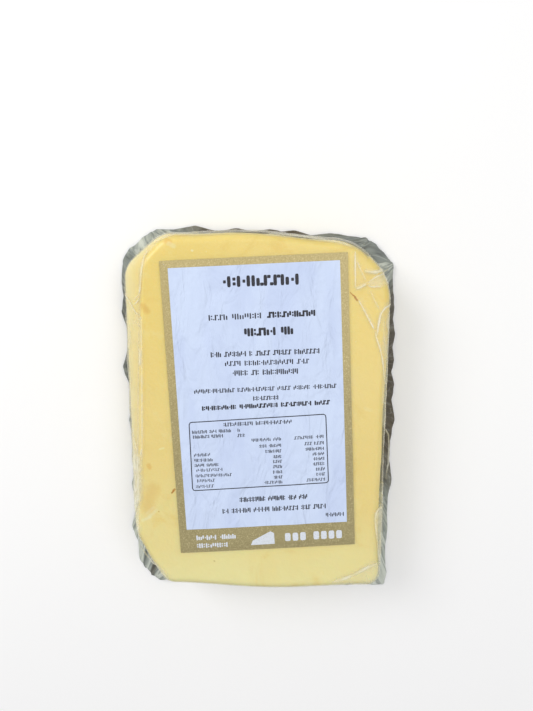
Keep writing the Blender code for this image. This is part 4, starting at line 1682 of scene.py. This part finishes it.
# The gold band's plain white marks, in a layout of their own
BAND_ROWS = (
    *mark_rows(BOLD, 5.4, (196.0, 538.4, 236.0, 536.4, 5, 4), (196.4, 546.4, 228.0, 544.8, 7)),
    *mark_rows(BLOCK, 9.5, (284.0, 537.4, 343.0, 534.4, 3, 4)),
)

TABLE_FRAME = ((189.0, 422.6), (325.8, 414.2), (328.6, 482.8), (192.6, 491.0))
WEDGE = ((251.0, 545.4), (252.6, 541.0), (270.4, 531.6), (274.0, 533.4), (274.8, 544.2))


@dataclass
class PaperLabel:
    """The paper label with its gold frame, its rows of marks and its ruled table.

    Attributes:
        shape: the pack's shape.
        camera: the photograph's camera.
        width: the sheet's width, in millimetres.
        length: its length.
        turn: how far it is turned anticlockwise, in degrees.
        rise: height of its top above the face.
        rim_rise: height of its top at its rim, where it is pressed down.
        thickness: the paper's thickness.
        cells: how many cells it has across and along.
        side_band: width of the gold bands at its sides.
        top_band: width of the gold band at its top.
        bottom_band: width of the gold band at its bottom.
        print_rise: height of the print above the paper.
        print_sunk: how far thin print reaches down into the paper.
        rounding: corner radius of a mark as a share of its size.
        rule: width of the ruled line.
        word_gap: space between words, as a share of a mark's step.
    """

    shape: PackShape
    camera: PhotoCamera
    width: float = 60.5
    length: float = 100.0
    turn: float = 2.8
    rise: float = 0.50
    rim_rise: float = 0.24
    thickness: float = 0.16
    cells: tuple = (110, 176)
    side_band: float = 2.6
    top_band: float = 2.4
    bottom_band: float = 8.6
    print_rise: float = 0.045
    print_sunk: float = 0.02
    rounding: float = 0.22
    rule: float = 0.30
    word_gap: float = 0.75

    def wrinkles(self, u: np.ndarray, v: np.ndarray) -> np.ndarray:
        """Faint cockles of the paper, in millimetres."""
        places = np.column_stack((u + 0.04 * v, v * 0.30, np.zeros(len(u))))
        fine = np.column_stack((u + 0.10 * v, v * 0.55, np.full(len(u), 7.0)))
        return 0.13 * soft_noise(places, 7.0, 21) + 0.05 * soft_noise(fine, 3.1, 22)

    def surface(self, u: np.ndarray, v: np.ndarray, lift: float) -> np.ndarray:
        """Points on the label's top.

        Args:
            u: places across the label from its middle, in millimetres.
            v: places along it.
            lift: height above the paper.

        Returns:
            x, y and z from the label's middle, in millimetres.
        """
        a = math.radians(self.turn)
        x = u * math.cos(a) - v * math.sin(a)
        y = u * math.sin(a) + v * math.cos(a)
        from_rim = np.minimum(0.5 * self.width - np.abs(u), 0.5 * self.length - np.abs(v))
        press = smooth_step(-0.2, 2.6, from_rim)
        rise = self.rim_rise + (self.rise - self.rim_rise) * press
        height = self.shape.face_height(np.column_stack((x, y))) + rise + lift
        return np.column_stack((x, y, height + self.wrinkles(u, v) * (0.3 + 0.7 * press)))

    def sheet(self, box: tuple, cells: tuple, top: float, bottom: float) -> tuple:
        """A thin closed sheet that follows the label's surface.

        Args:
            box: lowest u, highest u, lowest v and highest v.
            cells: how many cells it has across and along.
            top: height of its top above the paper.
            bottom: height of its underside above the paper.

        Returns:
            Its points, in millimetres from the label's middle, and its faces.
        """
        across, along = cells
        u, v = np.meshgrid(np.linspace(box[0], box[1], across + 1),
                           np.linspace(box[2], box[3], along + 1))
        points = np.vstack([self.surface(u.ravel(), v.ravel(), lift) for lift in (top, bottom)])
        under = (across + 1) * (along + 1)
        faces = []
        for row in range(along):
            for column in range(across):
                a = row * (across + 1) + column
                d = a + across + 1
                faces.append((a, a + 1, d + 1, d))
                faces.append((under + a, under + d, under + d + 1, under + a + 1))
        rim = list(range(across))
        rim += [row * (across + 1) + across for row in range(along)]
        rim += [along * (across + 1) + column for column in range(across, 0, -1)]
        rim += [row * (across + 1) for row in range(along, 0, -1)]
        for a, b in zip(rim, rim[1:] + rim[:1]):
            faces.append((under + a, under + b, b, a))
        return points, faces

    def piece_of(self, name: str, points: np.ndarray, faces: list,
                 finish: Material) -> Object:
        """Make a piece out of points and faces.

        Args:
            name: the piece's name.
            points: its points, in millimetres from the label's middle.
            faces: its faces.
            finish: its material.

        Returns:
            The finished piece.
        """
        mesh = mesh_from(name, points * MM + self.camera.middle, faces)
        mesh.set_sharp_from_angle(angle=math.radians(50.0))
        mesh.materials.append(finish)
        return dress(add_object(name, mesh))

    def build_paper(self, finish: Material) -> Object:
        """Make the sheet of paper."""
        w, h = 0.5 * self.width, 0.5 * self.length
        points, faces = self.sheet((-w, w, -h, h), self.cells, 0.0, -self.thickness)
        piece = self.piece_of("label_sheet", points, faces, finish)
        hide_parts("label")
        return piece

    def build_gold(self, finish: Material) -> Object:
        """Make the gold frame as a thin layer of print."""
        w, h = 0.5 * self.width, 0.5 * self.length
        high = h - self.top_band
        low = -h + self.bottom_band
        columns, rows = self.cells
        at_top, at_bottom, at_side = 5, 15, 5
        between = rows - at_top - at_bottom
        boxes = (((-w, w, high, h), (columns, at_top)), ((-w, w, -h, low), (columns, at_bottom)),
                 ((-w, -w + self.side_band, low, high), (at_side, between)),
                 ((w - self.side_band, w, low, high), (at_side, between)))
        points, faces = np.zeros((0, 3)), []
        for box, cells in boxes:
            more, quads = self.sheet(box, cells, self.print_rise * 0.3, -self.print_sunk)
            faces += [tuple(i + len(points) for i in quad) for quad in quads]
            points = np.vstack((points, more))
        return self.piece_of("gold_frame", points, faces, finish)

    def strokes(self, rows: tuple, seed: int) -> tuple:
        """Lay out the strokes of rows of marks.

        Args:
            rows: the rows.
            seed: picks the patterns.

        Returns:
            x, y and z of each stroke's middle, and its width, height and turn.
        """
        pick = np.random.default_rng(seed)
        places, sizes = [], []
        for row in rows:
            start, end = (self.camera.on_label(p) for p in (row.ends[:2], row.ends[2:]))
            along = unit(end - start)
            up = np.array((-along[1], along[0], 0.0))
            tall = row.height / self.camera.focal * (self.camera.eye[2] * MM)
            slots = sum(row.words) + self.word_gap * (len(row.words) - 1)
            step = np.linalg.norm(end - start) / slots
            wide = step * 0.80
            thick = row.weight.value * tall
            patterns = BLOCK_PATTERNS if row.weight is BLOCK else MARK_PATTERNS
            at = 0.0
            for word in row.words:
                for _ in range(word):
                    for x, y, w, h in patterns[pick.integers(len(patterns))]:
                        centre = start + along * (at * step + x * wide + 0.1 * step)
                        places.append(centre + up * (y - 0.5) * (tall - thick * 0.5))
                        sizes.append((w * wide or thick, h * tall or thick * 0.9,
                                      math.atan2(along[1], along[0])))
                    at += 1.0
                at += self.word_gap
        return places, np.array(sizes)

    def mark_tree(self) -> GeometryCanvas:
        """Build the tree that puts a small rounded bar at every stroke, down on the paper."""
        canvas = GeometryCanvas("printed_strokes", Paper="Object", Depth="Float",
                                Rounding="Float")
        points = canvas.get("GeometryNodeMeshToPoints", {"Mesh": canvas.inputs["Geometry"]})
        hit = canvas.beneath(canvas.shape_of("Paper"))
        square = canvas.get("GeometryNodeCurvePrimitiveQuadrilateral", {
            "Width": 1.0, "Height": 1.0})
        rounded = canvas.get("GeometryNodeFilletCurve", {
            "Curve": square, "Radius": canvas.inputs["Rounding"], "Count": 2}, mode="POLY")
        finer = canvas.get("GeometryNodeSubdivideCurve", {"Curve": rounded})
        filled = canvas.get("GeometryNodeFillCurve", {"Curve": finer}, mode="NGONS")
        solid = canvas.get("GeometryNodeExtrudeMesh", {
            "Mesh": filled, "Offset Scale": 1.0}, mode="FACES")
        level = canvas.add("ShaderNodeSeparateXYZ", {0: canvas.place}).outputs[2]
        bar = canvas.keep(solid, "level", level)
        size = canvas.get("ShaderNodeCombineXYZ", {
            0: canvas.stored("stroke_width"), 1: canvas.stored("stroke_height"),
            2: canvas.inputs["Depth"]})
        angles = canvas.get("ShaderNodeCombineXYZ", {2: canvas.stored("stroke_turn")})
        turn = canvas.get("FunctionNodeEulerToRotation", {0: angles})
        bars = canvas.get("GeometryNodeInstanceOnPoints", {
            "Points": canvas.moved(points, hit), "Instance": bar, "Rotation": turn,
            "Scale": size})
        real = canvas.get("GeometryNodeRealizeInstances", {0: bars})
        height = canvas.get("ShaderNodeCombineXYZ", {2: canvas.math(
            "MULTIPLY", canvas.stored("level"), canvas.inputs["Depth"])})
        canvas.finish(canvas.moved(real, hit, height))
        return canvas

    def build_marks(self, name: str, rows: tuple, seed: int, paper: Object,
                    finish: Material) -> Object:
        """Print rows of plain marks.

        Args:
            name: the piece's name.
            rows: the rows.
            seed: picks the patterns.
            paper: the piece that they lie on.
            finish: their material.

        Returns:
            The finished piece.
        """
        places, sizes = self.strokes(rows, seed)
        mesh = bpy.data.meshes.new(name)
        mesh.from_pydata(places, [], [])
        for column, title in enumerate(("stroke_width", "stroke_height", "stroke_turn")):
            store(mesh, title, sizes[:, column])
        return self.mark_tree().run(add_object(name, mesh), "label_paper", Paper=paper,
                                    Depth=self.print_rise * MM, Rounding=self.rounding,
                                    Finish=finish)

    def line_tree(self) -> GeometryCanvas:
        """Build the tree that lays a thin printed line along a closed path on the paper."""
        canvas = GeometryCanvas("ruled_line", Paper="Object", Width="Float", Depth="Float",
                                Corner="Float", Spacing="Float")
        round_off = canvas.get("GeometryNodeFilletCurve", {
            "Curve": canvas.inputs["Geometry"], "Radius": canvas.inputs["Corner"],
            "Count": 5}, mode="POLY")
        path = canvas.get("GeometryNodeResampleCurve", {
            "Curve": round_off, "Length": canvas.inputs["Spacing"]}, mode="LENGTH")
        laid = canvas.moved(path, canvas.beneath(canvas.shape_of("Paper")))
        upright = canvas.get("GeometryNodeSetCurveNormal", {"Curve": laid}, mode="Z_UP")
        profile = canvas.get("GeometryNodeCurvePrimitiveQuadrilateral", {
            "Width": canvas.inputs["Width"], "Height": canvas.inputs["Depth"]})
        canvas.finish(canvas.get("GeometryNodeCurveToMesh", {
            "Curve": upright, "Profile Curve": profile}))
        return canvas

    def build_table(self, paper: Object, finish: Material) -> Object:
        """Print the rounded frame around the table, down on the paper."""
        corners = [self.camera.on_label(pixel) for pixel in TABLE_FRAME]
        return self.line_tree().run(
            poly_curve("table_frame", [(corners, 1.0)], cyclic=True), "label_paper",
            Paper=paper, Width=self.rule * MM, Depth=2.0 * self.print_rise * MM,
            Corner=0.8 * MM, Spacing=0.8 * MM, Finish=finish)

    def build_wedge(self, finish: Material) -> Object:
        """Print a plain white wedge on the gold band."""
        a = math.radians(self.turn)
        corners = [self.camera.on_label(pixel) - self.camera.middle for pixel in WEDGE]
        x, y, _ = (np.array(corners) / MM).T
        u = x * math.cos(a) + y * math.sin(a)
        v = -x * math.sin(a) + y * math.cos(a)
        points = np.vstack((self.surface(u, v, self.print_rise * 1.6),
                            self.surface(u, v, -self.print_sunk)))
        count = len(corners)
        faces = [tuple(range(count)), tuple(range(2 * count - 1, count - 1, -1))]
        faces += [(count + i, count + (i + 1) % count, (i + 1) % count, i) for i in range(count)]
        return self.piece_of("band_wedge", points, faces, finish)


@dataclass
class Studio:
    """The floor, the soft lights and the view settings.

    Attributes:
        floor_half: half of the floor's width, in metres.
        sky: strength of the even light from all around.
        lights: name, place and width in metres, power in watts and colour of each light.
        sunk: how far the floor lies below the part, in metres.
    """

    floor_half: float = 1.5
    sky: float = 0.53
    lights: tuple = (("key_light", (0.25, 0.15, 0.75), 0.6, 2.1, WHITE[:3]),
                     ("window_light", (-0.46, 0.36, 0.46), 0.34, 1.95, (1.0, 0.99, 0.97)))
    sunk: float = 0.0002

    def build_floor(self, finish: Material) -> None:
        """Make the pale floor."""
        corners = np.array(((-1, -1), (1, -1), (1, 1), (-1, 1))) * self.floor_half
        mesh = mesh_from("floor", PackShape.lifted(corners, -self.sunk), [(0, 1, 2, 3)])
        mesh.materials.append(finish)
        add_object("floor", mesh)

    @staticmethod
    def add_light(name: str, place: tuple, size: float, power: float, colour: tuple) -> None:
        """Add one soft square light that points at the object.

        Args:
            name: the light's name.
            place: where it hangs, in metres.
            size: its width, in metres.
            power: its power, in watts.
            colour: its linear red, green and blue.
        """
        data = bpy.data.lights.new(name, "AREA")
        data.shape = "SQUARE"
        data.size = size
        data.energy = power
        data.color = colour
        light = add_object(name, data)
        light.location = place
        light.rotation_mode = "QUATERNION"
        light.rotation_quaternion = Vector(place).to_track_quat("Z", "Y")

    def build(self) -> None:
        """Set up the surroundings, the lights and the view."""
        world = bpy.data.worlds.new("studio")
        world.use_nodes = True
        backdrop = world.node_tree.nodes["Background"]
        backdrop.inputs["Color"].default_value = WHITE
        backdrop.inputs["Strength"].default_value = self.sky
        scene = bpy.context.scene
        scene.world = world
        scene.view_settings.view_transform = "Standard"
        scene.cycles.transparent_max_bounces = 16
        for light in self.lights:
            self.add_light(*light)


def main() -> None:
    """Build every piece in order."""
    logging.basicConfig(level=logging.INFO, format="%(message)s")
    low, high = np.array(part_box("label"), float)
    label_top = np.array((*(0.5 * (low + high))[:2], high[2]))
    camera = PhotoCamera(label_top)
    camera.build()
    studio = Studio()
    studio.build()
    studio.build_floor(FloorFinish().build())
    shape = PackShape()
    level = np.array((1.0, 1.0, 0.0))
    flaws_and_light = [(camera.on_label(f.start, FACE_DROP) * level,
              camera.on_label(f.end, FACE_DROP) * level, f) for f in FLAWS_AND_LIGHT]
    block = CheeseBlock(shape, camera).build(CheeseFinish().build(flaws_and_light))
    film = FilmSkin(shape, camera)
    skin = film.build(FilmFinish().build())
    creases = film.build_creases(skin, {
        BRIGHT: CreaseFinish("crease_bright", (250, 242, 202), 0.55).build(),
        SOFT: CreaseFinish("crease_soft", (246, 238, 196), 0.32).build()})
    label = PaperLabel(shape, camera)
    paper = label.build_paper(PaperFinish().build())
    gold = label.build_gold(GoldFinish().build())
    ink = InkFinish("dark_ink", (30, 30, 38), (52, 54, 68)).build()
    chalk = InkFinish("white_print", (222, 228, 238), (206, 210, 214)).build()
    marks = label.build_marks("label_marks", MARK_ROWS, 31, paper, ink)
    band = label.build_marks("band_marks", BAND_ROWS, 47, paper, chalk)
    table = label.build_table(paper, ink)
    wedge = label.build_wedge(chalk)
    for piece in (block, skin, *creases, paper, gold, marks, band, table, wedge):
        piece.data.calc_loop_triangles()
        log.info("%s: %d triangles", piece.name, len(piece.data.loop_triangles))


if __name__ == "__main__":
    main()
